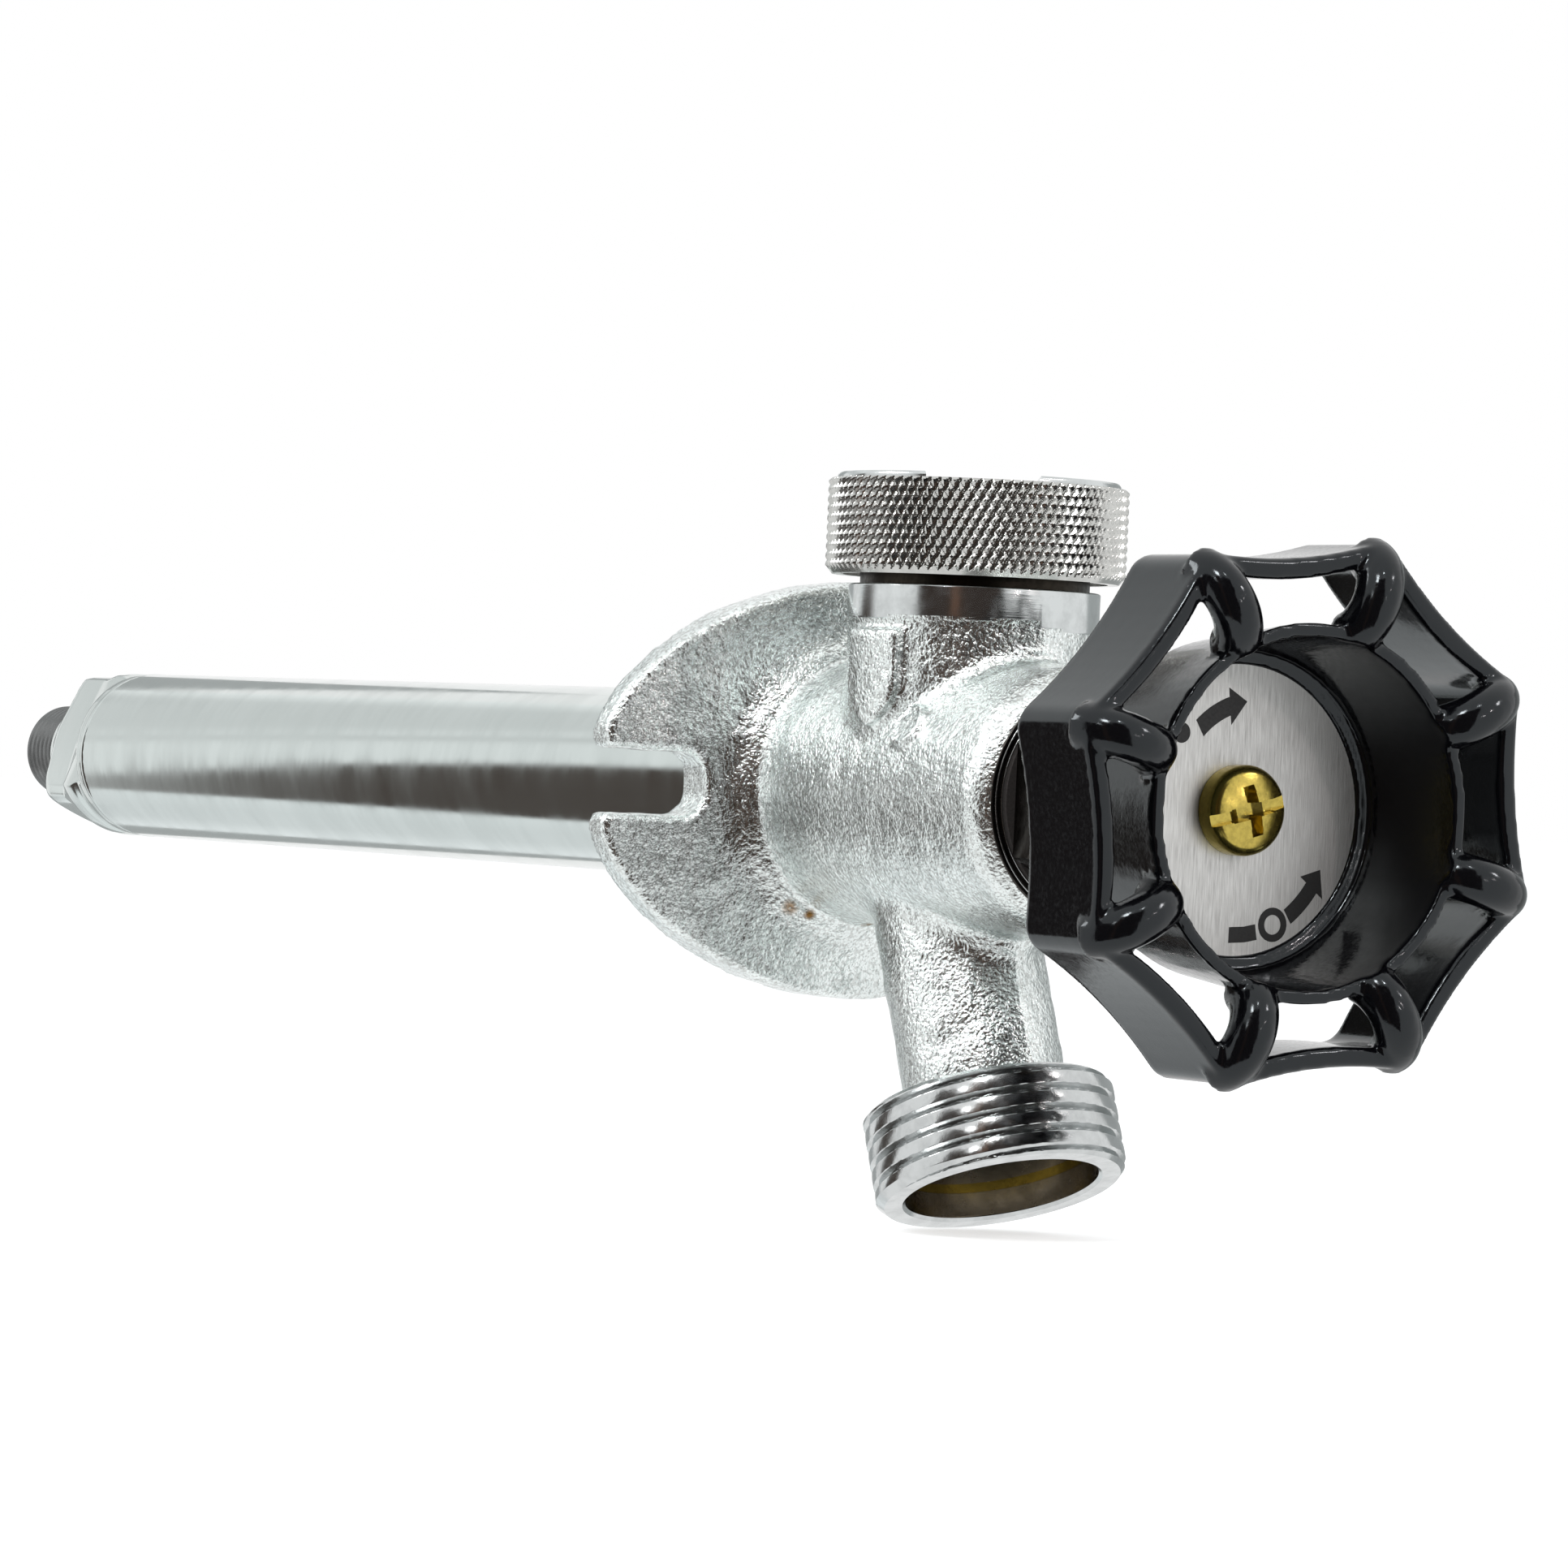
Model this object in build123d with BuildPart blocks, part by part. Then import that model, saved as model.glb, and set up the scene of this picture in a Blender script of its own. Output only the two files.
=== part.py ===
from build123d import *
import os
from math import cos, pi, radians, sin, sqrt

os.makedirs("parts", exist_ok=True)

# Frost free sillcock. The origin is the centre of the wall face of the flange, on the axis of the tube.
# +Y goes into the wall, -Y towards the user, +X to the right and +Z up. Sizes are in millimetres.
# "out" is a distance from the wall face towards the user, and "behind" is one into the wall.

# Clearances and cutting
fixed_clearance = 0.05
running_clearance = 0.08
overrun = 2.0

# Length into the wall, from which the inlet fitting, the seat and the rod follow
length_behind = 200.0

# Frost tube
tube_radius = 10.65
tube_wall = 0.9
tube_socket_depth = 10.0
tube_bore_radius = tube_radius - tube_wall

# Flange
flange_half_width = 31.3
flange_half_height = 22.8
flange_rim = 3.0
flange_face_out = 5.2
flange_face_radius = 19.2
flange_root_out = 9.2
flange_edge_round = 0.9
flange_outline_shares = ((0.96, 0.36), (0.80, 0.61), (0.49, 0.86), (0.24, 0.966), (0.0, 1.0))
flange_tip_share = 0.25
slot_inner = 19.8
slot_width = 6.9
slot_corner_radius = 1.7
slot_mouth_radius = 1.0

# Barrel, a little wider than the boss and longer by the room that the bonnet needs
barrel_past_boss = 11.7
barrel_past_side = 1.1
barrel_front_step = 1.7
barrel_front_wall = 2.7
barrel_bevel = 0.9
barrel_round = 2.6
chamber_step = 0.8
bonnet_bore_depth = 14.6

# Vacuum breaker boss, on a vertical axis
boss_bore_radius = 10.6
boss_wall = 2.7
boss_past_flange = 3.5
boss_height = 18.6
collar_rise = 0.2
collar_height = 3.6
boss_floor = 11.5
boss_port_radius = 5.6
boss_fillet = 2.2
boss_radius = boss_bore_radius + boss_wall
boss_out = flange_root_out + boss_past_flange + boss_radius
barrel_out = boss_out + boss_radius + barrel_past_boss
barrel_radius = boss_radius + barrel_past_side
barrel_front_radius = barrel_radius - barrel_front_step
bonnet_bore_radius = barrel_front_radius - barrel_front_wall
chamber_radius = bonnet_bore_radius - chamber_step
collar_radius = boss_radius + collar_rise
collar_top = boss_height + collar_height

# Raised bare pad on the left of the boss
shield_width = 7.6
shield_height = 10.3
shield_rise = 1.2
shield_angle = 188.0
shield_drop = 1.3
shield_top = boss_height - shield_drop
shield_shoulder_share = 0.6
shield_arc_share = 0.72

# Spout
spout_past_flange = 1.9
spout_tilt = 22.4
spout_neck_radius = 8.7
spout_length = 44.8
spout_fillet = 3.0
neck_bore_radius = 6.2
mouth_bore_radius = 10.38
mouth_depth = 7.0
mouth_ledge = 1.2
hose_thread_radius = 13.45
hose_thread_length = 10.0
hose_thread_pitch = 25.4 / 11.5
hose_thread_depth = 1.15
hose_thread_crest_share = 0.14
hose_thread_root_share = 0.2
hose_thread_lead_in = 0.8
hose_thread_count = 4
neck_relief = 2.2
spout_root_out = flange_root_out + spout_past_flange + spout_neck_radius

# Inlet fitting
seat_inset = 11.0
seat_rim_radius = 5.8
seat_rim_rise = 2.0
inlet_bore_radius = 4.4
inlet_body_length = 16.5
inlet_body_round = 2.0
inlet_bead_width = 1.8
inlet_flat_width = 14.0
inlet_flat_angle = 25.0
inlet_stub_radius = 6.05
inlet_stub_length = 11.0
inlet_stub_fillet = 3.0
inlet_stub_chamfer = 0.5
inlet_body_end = length_behind - inlet_stub_length
tube_behind = inlet_body_end - inlet_body_length
seat_plane_behind = tube_behind - seat_inset

# Bonnet, packing and packing nut
hex_across_flats = 20.6
hex_sides = 6
hex_turn = 30.0
bonnet_gasket_thickness = 0.8
bonnet_gasket_width = 1.4
bonnet_hex_thickness = 4.0
bonnet_nose_radius = 8.0
bonnet_nose_length = 6.4
bonnet_screw_bore_radius = 6.43
bonnet_stop_gap = 0.3
packing_bore_radius = 6.6
packing_chamber_depth = 3.8
packing_length = 3.0
gland_thickness = 1.6
packing_nut_wall = 2.7
packing_nut_gap = 0.8
hex_chamfer = 1.2

# Operating screw, rod and cross pin
screw_radius = 6.35
shank_radius = 4.75
square_width = 6.4
square_length = 6.6
screw_length = 15.6
screw_inner_setback = 17.0
spigot_radius = 5.3
spigot_length = 8.0
rod_radius = 3.175
rod_entry = 7.2
pin_radius = 1.2
pin_setback = 4.0
rod_groove_radius = 2.2
rod_groove_width = 1.8
rod_groove_setback = 4.0
stem_travel = 5.55

# Washer holder and washer
washer_radius = 7.1
washer_thickness = 3.2
washer_cup_lip = 1.8
washer_cup_wall = 1.0
holder_cup_length = 5.8
holder_neck_radius = 6.4
holder_neck_length = 11.0
holder_socket_depth = 8.4
wing_count = 4
wing_thickness = 1.7
wing_length = 9.0
wing_setback = 2.75
wing_gap = 0.15
swivel_pin_radius = 0.8
washer_screw_head_radius = 3.1
washer_screw_head_length = 1.6
washer_screw_radius = 1.6
washer_screw_length = 8.4
driver_slot_width = 0.9
driver_slot_depth = 0.8

# Hand wheel
wheel_angle = 28.5
wheel_lobes = 8
wheel_corner_radius = 28.8
wheel_side_radius = 25.4
wheel_corner_round = 3.2
wheel_wall = 2.1
wheel_depth = 12.9
wheel_hub_gap = 3.95
wheel_back_round = 0.7
wheel_front_chamfer = 0.4
cup_rim_radius = 19.0
cup_back_radius = 17.2
cup_mouth_radius = 17.65
cup_floor_radius = 16.2
cup_depth = 13.7
cup_floor_thickness = 2.5
lip_rise = 0.9
hub_radius = 7.4
rib_radius = 2.45
rib_outer_radius = 26.6
rib_top_radius = 23.2
rib_top_rise = 0.5
rib_inner_radius = 18.6
rib_foot_drop = 2.8

# Plate and screw of the hand wheel
plate_radius = 14.7
plate_thickness = 0.5
handle_screw_head_radius = 4.6
handle_screw_head_length = 3.4
handle_screw_edge_round = 0.9
handle_screw_radius = 2.35
handle_screw_length = 12.0
handle_slot_width = 1.15
handle_slot_depth = 1.5
cross_width = 1.3
cross_reach = 2.5
cross_depth = 2.0
handle_slot_angle = 16.0

# Vacuum breaker
cap_lift = 1.0
cap_height = 10.2
cap_wall = 1.9
cap_cavity_gap = 1.9
cap_top_thickness = 2.0
cap_edge_chamfer = 0.5
cap_hub_wall = 2.4
cap_hub_length = 5.4
cap_pad_rise = 0.6
cap_pad_inset = 0.9
cap_pad_gap = 12.0
cap_pad_angle = -31.0
breaker_neck_radius = 9.0
breaker_neck_top_gap = 0.8
breaker_flange_lap = 1.7
breaker_flange_thickness = 1.4
breaker_wall = 2.4
breaker_port_radius = 4.6
breaker_port_wall = 1.5
breaker_seat_gap = 0.1
breaker_vent_radius = 1.2
breaker_vent_count = 6
o_ring_radius = 0.8
o_ring_drop = 2.4
guide_gap = 0.2
guide_thickness = 2.0
guide_window_radius = 1.9
guide_window_circle = 5.0
guide_window_count = 6
poppet_gap = 0.8
poppet_thickness = 2.4
poppet_stem_radius = 1.6
poppet_stem_length = 6.0
poppet_spigot_radius = 4.0
poppet_spigot_length = 1.0
poppet_seal_inset = 0.4
poppet_seal_thickness = 1.2
poppet_travel = 2.1
breaker_inner_radius = boss_bore_radius - breaker_wall
breaker_flange_radius = boss_bore_radius + breaker_flange_lap
guide_radius = boss_bore_radius - guide_gap
poppet_radius = breaker_inner_radius - poppet_gap
poppet_seal_radius = poppet_radius - poppet_seal_inset
cap_bottom = collar_top + cap_lift
cap_top = cap_bottom + cap_height
cap_cavity_radius = breaker_flange_radius + cap_cavity_gap
cap_radius = cap_cavity_radius + cap_wall
cap_hub_radius = breaker_neck_radius + cap_hub_wall
cap_pad_radius = cap_radius - cap_pad_inset
breaker_neck_top = cap_top - cap_top_thickness - breaker_neck_top_gap

# Braze ring in the bevelled mouth of the tube's socket
braze_ring_reach = 1.6
braze_ring_depth = 1.6


# Profiles. Turned pieces are drawn as (out, radius) points and spun round the main axis, and upright ones
# as (radius, height) points spun round the axis of the vacuum breaker.
main_profile_plane = Plane(origin=(0, 0, 0), x_dir=(0, -1, 0), z_dir=(-1, 0, 0))
upright_plane = Plane(origin=(0, -boss_out, 0), x_dir=(1, 0, 0), z_dir=(0, -1, 0))
boss_axis = Axis((0, -boss_out, 0), (0, 0, 1))
spout_direction = Vector(0, -sin(radians(spout_tilt)), -cos(radians(spout_tilt)))
spout_origin = Vector(0, -spout_root_out, 0)
spout_axis = Axis(spout_origin, spout_direction)
spout_plane = Plane(origin=spout_origin, x_dir=spout_direction, z_dir=(-1, 0, 0))


def distance_off_axis(point):
    return sqrt(point.X ** 2 + point.Z ** 2)


def polar_point(radius, angle):
    return (radius * cos(radians(angle)), radius * sin(radians(angle)))


def closed_profile(plane, points):
    with BuildSketch(plane) as profile:
        with BuildLine():
            Polyline(*points, close=True)
        make_face()
    return profile.sketch


def turned(*points):
    return closed_profile(main_profile_plane, points)


def upright(*points):
    return closed_profile(upright_plane, points)


def along_spout(*points):
    return closed_profile(spout_plane, points)


# Body casting

# Half of the oval outline, mirrored about the slots, with a straight tip at each end
def flange_outline():
    tip = (flange_half_width, flange_half_height * flange_tip_share)
    right = [(x * flange_half_width, z * flange_half_height) for x, z in flange_outline_shares]
    left = [(-x, z) for x, z in reversed(right[:-1])]
    upper = [tip] + right + left + [(-tip[0], tip[1])]
    lower = [(x, -z) for x, z in upper]
    with BuildSketch(Plane.XZ) as outline:
        with BuildLine():
            Spline(*upper)
            Spline(*lower)
            Line(upper[0], lower[0])
            Line(upper[-1], lower[-1])
        make_face()
        with Locations((-flange_half_width, 0), (flange_half_width, 0)):
            slot_reach = 2 * (flange_half_width - slot_inner)
            RectangleRounded(slot_reach, slot_width, slot_corner_radius, mode=Mode.SUBTRACT)
        tip_side = (flange_half_width + slot_inner) / 2
        tips = outline.vertices().filter_by(lambda v: abs(v.X) > tip_side)
        fillet(tips, slot_mouth_radius)
    return outline.sketch


with BuildPart() as flange_form:
    with BuildSketch(main_profile_plane):
        with BuildLine():
            rim_radius = flange_half_width + overrun
            face_end = (flange_face_out, flange_face_radius)
            root = (flange_root_out, barrel_radius)
            Polyline((0, 0), (0, rim_radius), (flange_rim, rim_radius), face_end)
            TangentArc(face_end, root, tangent=(flange_face_out - flange_rim, flange_face_radius - rim_radius))
            Polyline(root, (flange_root_out, 0), (0, 0))
        make_face()
    revolve(axis=Axis.Y)
    extrude(flange_outline(), amount=flange_root_out + overrun, mode=Mode.INTERSECT)
    face_edges = flange_form.faces().filter_by(GeomType.CONE).edges()
    front_rim = face_edges.filter_by(lambda e: distance_off_axis(e.center()) > flange_face_radius)
    fillet(front_rim, flange_edge_round)


# Shield on the boss: its outline is pushed out from the boss axis and trimmed to a slightly larger cylinder
def shield_outline():
    facing = (cos(radians(shield_angle)), sin(radians(shield_angle)), 0)
    across = (-sin(radians(shield_angle)), cos(radians(shield_angle)), 0)
    half = shield_width / 2
    shoulder = -shield_height * shield_shoulder_share
    bulge = half * shield_arc_share
    arc_middle = (shoulder - shield_height) / 2
    with BuildSketch(Plane(origin=(0, -boss_out, shield_top), x_dir=across, z_dir=facing)) as shield:
        with BuildLine():
            Polyline((-half, shoulder), (-half, 0), (half, 0), (half, shoulder))
            ThreePointArc((half, shoulder), (bulge, arc_middle), (0, -shield_height))
            ThreePointArc((0, -shield_height), (-bulge, arc_middle), (-half, shoulder))
        make_face()
    return shield.sketch


def shield_pad():
    with BuildPart() as pad:
        with BuildSketch(Plane.XY):
            with Locations((0, -boss_out)):
                Circle(boss_radius + shield_rise)
        extrude(amount=boss_height)
        extrude(shield_outline(), amount=boss_radius + overrun, mode=Mode.INTERSECT)
    return pad.part


# Hose thread: crests and V grooves of one pitch each, drawn along the spout
def hose_thread_points():
    crest = hose_thread_pitch * hose_thread_crest_share
    root = hose_thread_pitch * hose_thread_root_share
    flank = (hose_thread_pitch - crest - root) / 2
    base = hose_thread_radius - hose_thread_depth
    end = spout_length - hose_thread_lead_in
    points = [(end, hose_thread_radius)]
    for turn in range(hose_thread_count):
        foot = end - crest - turn * hose_thread_pitch
        points.append((foot, hose_thread_radius))
        points.append((foot - flank, base))
        points.append((foot - flank - root, base))
        points.append((foot - flank - root - flank, hose_thread_radius))
    return points


with BuildPart() as body_casting:
    add(flange_form.part)
    with BuildSketch(main_profile_plane):
        with BuildLine():
            round_start = (barrel_out - barrel_bevel - barrel_round, barrel_radius)
            round_end = (barrel_out - barrel_bevel, barrel_front_radius + barrel_bevel)
            Polyline((0, 0), (0, barrel_radius), round_start)
            TangentArc(round_start, round_end, tangent=(1, 0))
            Polyline(round_end, (barrel_out, barrel_front_radius), (barrel_out, 0), (0, 0))
        make_face()
    revolve(axis=Axis.Y)
    with BuildSketch(Plane.XY):
        with Locations((0, -boss_out)):
            Circle(boss_radius)
    extrude(amount=boss_height)
    fillet(body_casting.edges(Select.NEW), boss_fillet)
    neck_end = spout_length - hose_thread_length
    revolve(
        along_spout(
            (0, 0),
            (0, spout_neck_radius),
            (neck_end + neck_relief, spout_neck_radius),
            (neck_end + neck_relief, 0),
        ),
        axis=spout_axis,
    )
    fillet(body_casting.edges(Select.NEW), spout_fillet)
    revolve(
        upright(
            (0, boss_height - overrun),
            (boss_radius - overrun, boss_height - overrun),
            (boss_radius - overrun, boss_height),
            (collar_radius, boss_height),
            (collar_radius, collar_top),
            (0, collar_top),
        ),
        axis=boss_axis,
    )
    thread_base = hose_thread_radius - hose_thread_depth
    revolve(
        along_spout(
            (neck_end, 0),
            (neck_end, thread_base - overrun / 2),
            *reversed(hose_thread_points()),
            (spout_length, hose_thread_radius - hose_thread_lead_in),
            (spout_length, 0),
        ),
        axis=spout_axis,
    )
    add(shield_pad())
    revolve(
        turned(
            (0, 0),
            (0, tube_radius + braze_ring_reach),
            (braze_ring_depth, tube_radius + fixed_clearance),
            (tube_socket_depth, tube_radius + fixed_clearance),
            (tube_socket_depth, chamber_radius),
            (barrel_out - bonnet_bore_depth, chamber_radius),
            (barrel_out - bonnet_bore_depth, bonnet_bore_radius),
            (barrel_out + overrun, bonnet_bore_radius),
            (barrel_out + overrun, 0),
        ),
        axis=Axis.Y,
        mode=Mode.SUBTRACT,
    )
    revolve(
        upright(
            (0, 0),
            (boss_port_radius, 0),
            (boss_port_radius, boss_floor),
            (boss_bore_radius, boss_floor),
            (boss_bore_radius, collar_top + overrun),
            (0, collar_top + overrun),
        ),
        axis=boss_axis,
        mode=Mode.SUBTRACT,
    )
    ledge_start = spout_length - mouth_depth
    revolve(
        along_spout(
            (chamber_radius / 2, 0),
            (chamber_radius / 2, neck_bore_radius),
            (ledge_start - mouth_ledge, neck_bore_radius),
            (ledge_start, mouth_bore_radius),
            (spout_length + overrun, mouth_bore_radius),
            (spout_length + overrun, 0),
        ),
        axis=spout_axis,
        mode=Mode.SUBTRACT,
    )
body_casting.part.label = "body_casting"
export_step(body_casting.part, "parts/body_casting.step")


# Frost tube
with BuildPart() as outer_tube:
    with BuildSketch(Plane.XZ.offset(tube_socket_depth)):
        Circle(tube_radius)
        Circle(tube_bore_radius, mode=Mode.SUBTRACT)
    extrude(amount=-(tube_socket_depth + tube_behind))
outer_tube.part.label = "outer_tube"
export_step(outer_tube.part, "parts/outer_tube.step")


# Braze that fills the bevel round the tube, flush with the wall face
with BuildPart() as tube_braze_ring:
    revolve(
        turned(
            (0, tube_radius + fixed_clearance),
            (0, tube_radius + braze_ring_reach - fixed_clearance),
            (braze_ring_depth - fixed_clearance, tube_radius + fixed_clearance),
        ),
        axis=Axis.Y,
    )
tube_braze_ring.part.label = "tube_braze_ring"
export_step(tube_braze_ring.part, "parts/tube_braze_ring.step")


# Inlet fitting with the valve seat
with BuildPart() as inlet_fitting:
    with BuildSketch(main_profile_plane):
        with BuildLine():
            plug_radius = tube_bore_radius - fixed_clearance
            rim_behind = seat_plane_behind + seat_rim_rise
            shoulder = (-inlet_body_end + inlet_body_round, tube_radius)
            shoulder_end = (-inlet_body_end, tube_radius - inlet_body_round)
            stub_root = (-inlet_body_end, inlet_stub_radius + inlet_stub_fillet)
            stub_start = (-inlet_body_end - inlet_stub_fillet, inlet_stub_radius)
            chamfer_start = (-length_behind + inlet_stub_chamfer, inlet_stub_radius)
            chamfer_end = (-length_behind, inlet_stub_radius - inlet_stub_chamfer)
            Polyline(
                (-length_behind, inlet_bore_radius),
                (-seat_plane_behind, inlet_bore_radius),
                (-seat_plane_behind, seat_rim_radius),
                (-rim_behind, seat_rim_radius),
                (-rim_behind, plug_radius),
                (-tube_behind, plug_radius),
                (-tube_behind, tube_radius),
                shoulder,
            )
            TangentArc(shoulder, shoulder_end, tangent=(-1, 0))
            Line(shoulder_end, stub_root)
            TangentArc(stub_root, stub_start, tangent=(0, -1))
            Polyline(stub_start, chamfer_start, chamfer_end, (-length_behind, inlet_bore_radius))
        make_face()
    revolve(axis=Axis.Y)
    flat_start = tube_behind + inlet_bead_width
    with BuildSketch(Plane(origin=(0, flat_start, 0), x_dir=(1, 0, 0), z_dir=(0, 1, 0))):
        with PolarLocations(inlet_flat_width / 2, 2, start_angle=inlet_flat_angle):
            flat_side = 2 * (tube_radius + overrun)
            Rectangle(tube_radius, flat_side, align=(Align.MIN, Align.CENTER))
    extrude(amount=inlet_body_end + inlet_stub_fillet - flat_start, mode=Mode.SUBTRACT)
inlet_fitting.part.label = "inlet_fitting"
export_step(inlet_fitting.part, "parts/inlet_fitting.step")


# Bonnet: it screws into the barrel, guides the operating screw and holds the packing in its nose
gasket_out = barrel_out + bonnet_gasket_thickness
bonnet_hex_out = gasket_out + bonnet_hex_thickness
bonnet_nose_out = bonnet_hex_out + bonnet_nose_length
packing_floor_out = bonnet_nose_out - packing_chamber_depth
screw_inner_out = barrel_out - screw_inner_setback
screw_front_out = screw_inner_out + screw_length
bonnet_stop_out = screw_front_out + stem_travel + bonnet_stop_gap
bonnet_inner_out = barrel_out - bonnet_bore_depth + fixed_clearance


def hexagon_prism(start_out, end_out):
    with BuildPart() as prism:
        with BuildSketch(Plane.XZ.offset(start_out)):
            RegularPolygon(hex_across_flats / 2, hex_sides, major_radius=False, rotation=hex_turn)
        extrude(amount=end_out - start_out)
        corner = hex_across_flats / 2 / cos(pi / hex_sides)
        revolve(
            turned(
                (start_out, 0),
                (start_out, corner),
                (end_out - hex_chamfer, corner),
                (end_out, corner - hex_chamfer),
                (end_out, 0),
            ),
            axis=Axis.Y,
            mode=Mode.INTERSECT,
        )
    return prism.part


with BuildPart() as bonnet:
    add(hexagon_prism(gasket_out, bonnet_hex_out))
    revolve(
        turned(
            (bonnet_inner_out, 0),
            (bonnet_inner_out, bonnet_bore_radius - fixed_clearance),
            (gasket_out + fixed_clearance, bonnet_bore_radius - fixed_clearance),
            (gasket_out + fixed_clearance, bonnet_nose_radius),
            (bonnet_nose_out, bonnet_nose_radius),
            (bonnet_nose_out, 0),
        ),
        axis=Axis.Y,
    )
    revolve(
        turned(
            (bonnet_inner_out - overrun, 0),
            (bonnet_inner_out - overrun, bonnet_screw_bore_radius),
            (bonnet_stop_out, bonnet_screw_bore_radius),
            (bonnet_stop_out, shank_radius + running_clearance),
            (packing_floor_out, shank_radius + running_clearance),
            (packing_floor_out, packing_bore_radius),
            (bonnet_nose_out + overrun, packing_bore_radius),
            (bonnet_nose_out + overrun, 0),
        ),
        axis=Axis.Y,
        mode=Mode.SUBTRACT,
    )
bonnet.part.label = "bonnet"
export_step(bonnet.part, "parts/bonnet.step")


# Flat rings on the main axis: gasket, packing and gland
def flat_ring(name, start_out, thickness, inner_radius, outer_radius):
    with BuildPart() as ring:
        with BuildSketch(Plane.XZ.offset(start_out)):
            Circle(outer_radius)
            Circle(inner_radius, mode=Mode.SUBTRACT)
        extrude(amount=thickness)
    ring.part.label = name
    export_step(ring.part, "parts/" + name + ".step")
    return ring.part


gland_out = packing_floor_out + packing_length
ring_bore = shank_radius + running_clearance
ring_outside = packing_bore_radius - fixed_clearance
bonnet_gasket = flat_ring(
    "bonnet_gasket",
    barrel_out,
    bonnet_gasket_thickness,
    bonnet_bore_radius,
    bonnet_bore_radius + bonnet_gasket_width,
)
stem_packing = flat_ring("stem_packing", packing_floor_out, packing_length, ring_bore, ring_outside)
packing_gland = flat_ring("packing_gland", gland_out, gland_thickness, ring_bore, ring_outside)


# Packing nut over the nose, bearing on the gland
nut_inner_out = gland_out + gland_thickness
packing_nut_out = nut_inner_out + packing_nut_wall
with BuildPart() as packing_nut:
    add(hexagon_prism(bonnet_hex_out + packing_nut_gap, packing_nut_out))
    revolve(
        turned(
            (0, 0),
            (0, bonnet_nose_radius + fixed_clearance),
            (nut_inner_out, bonnet_nose_radius + fixed_clearance),
            (nut_inner_out, shank_radius + running_clearance),
            (packing_nut_out + overrun, shank_radius + running_clearance),
            (packing_nut_out + overrun, 0),
        ),
        axis=Axis.Y,
        mode=Mode.SUBTRACT,
    )
packing_nut.part.label = "packing_nut"
export_step(packing_nut.part, "parts/packing_nut.step")


# Operating screw: threaded part, shank, square for the wheel, and a spigot that takes the rod
square_out = packing_nut_out + wheel_hub_gap
cup_floor_out = square_out + square_length + fixed_clearance
hub_out = cup_floor_out - cup_floor_thickness
wheel_front_out = cup_floor_out + cup_depth
spigot_out = screw_inner_out - spigot_length
pin_out = spigot_out + pin_setback
rod_front_out = spigot_out + rod_entry
with BuildPart() as valve_stem:
    revolve(
        turned(
            (spigot_out, 0),
            (spigot_out, spigot_radius),
            (screw_inner_out, spigot_radius),
            (screw_inner_out, screw_radius),
            (screw_front_out, screw_radius),
            (screw_front_out, shank_radius),
            (square_out, shank_radius),
            (square_out, 0),
        ),
        axis=Axis.Y,
    )
    with BuildSketch(Plane.XZ.offset(square_out)):
        Rectangle(square_width, square_width, rotation=wheel_angle)
    extrude(amount=square_length)
    with BuildSketch(Plane.XZ.offset(spigot_out)):
        Circle(rod_radius + fixed_clearance)
    extrude(amount=rod_entry + fixed_clearance, mode=Mode.SUBTRACT)
    with Locations((0, -pin_out, 0)):
        Cylinder(pin_radius + fixed_clearance, 2 * (spigot_radius + overrun), mode=Mode.SUBTRACT)
    with BuildSketch(Plane.XZ.offset(square_out + square_length)):
        Circle(handle_screw_radius + fixed_clearance)
    extrude(amount=plate_thickness - handle_screw_length - fixed_clearance, mode=Mode.SUBTRACT)
valve_stem.part.label = "valve_stem"
export_step(valve_stem.part, "parts/valve_stem.step")


# Rod down the tube, with the groove that the swivel pin runs in
washer_front_behind = seat_plane_behind - washer_thickness
holder_front_behind = washer_front_behind - holder_cup_length - holder_neck_length
rod_end_behind = holder_front_behind + holder_socket_depth
groove_behind = rod_end_behind - rod_groove_setback
groove_half = rod_groove_width / 2
with BuildPart() as stem_rod:
    revolve(
        turned(
            (rod_front_out, 0),
            (rod_front_out, rod_radius),
            (-groove_behind + groove_half, rod_radius),
            (-groove_behind + groove_half, rod_groove_radius),
            (-groove_behind - groove_half, rod_groove_radius),
            (-groove_behind - groove_half, rod_radius),
            (-rod_end_behind, rod_radius),
            (-rod_end_behind, 0),
        ),
        axis=Axis.Y,
    )
    with Locations((0, -pin_out, 0)):
        Cylinder(pin_radius + fixed_clearance, 2 * (rod_radius + overrun), mode=Mode.SUBTRACT)
stem_rod.part.label = "stem_rod"
export_step(stem_rod.part, "parts/stem_rod.step")

with BuildPart() as rod_pin:
    with Locations((0, -pin_out, 0)):
        Cylinder(pin_radius, 2 * spigot_radius)
rod_pin.part.label = "rod_pin"
export_step(rod_pin.part, "parts/rod_pin.step")


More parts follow.
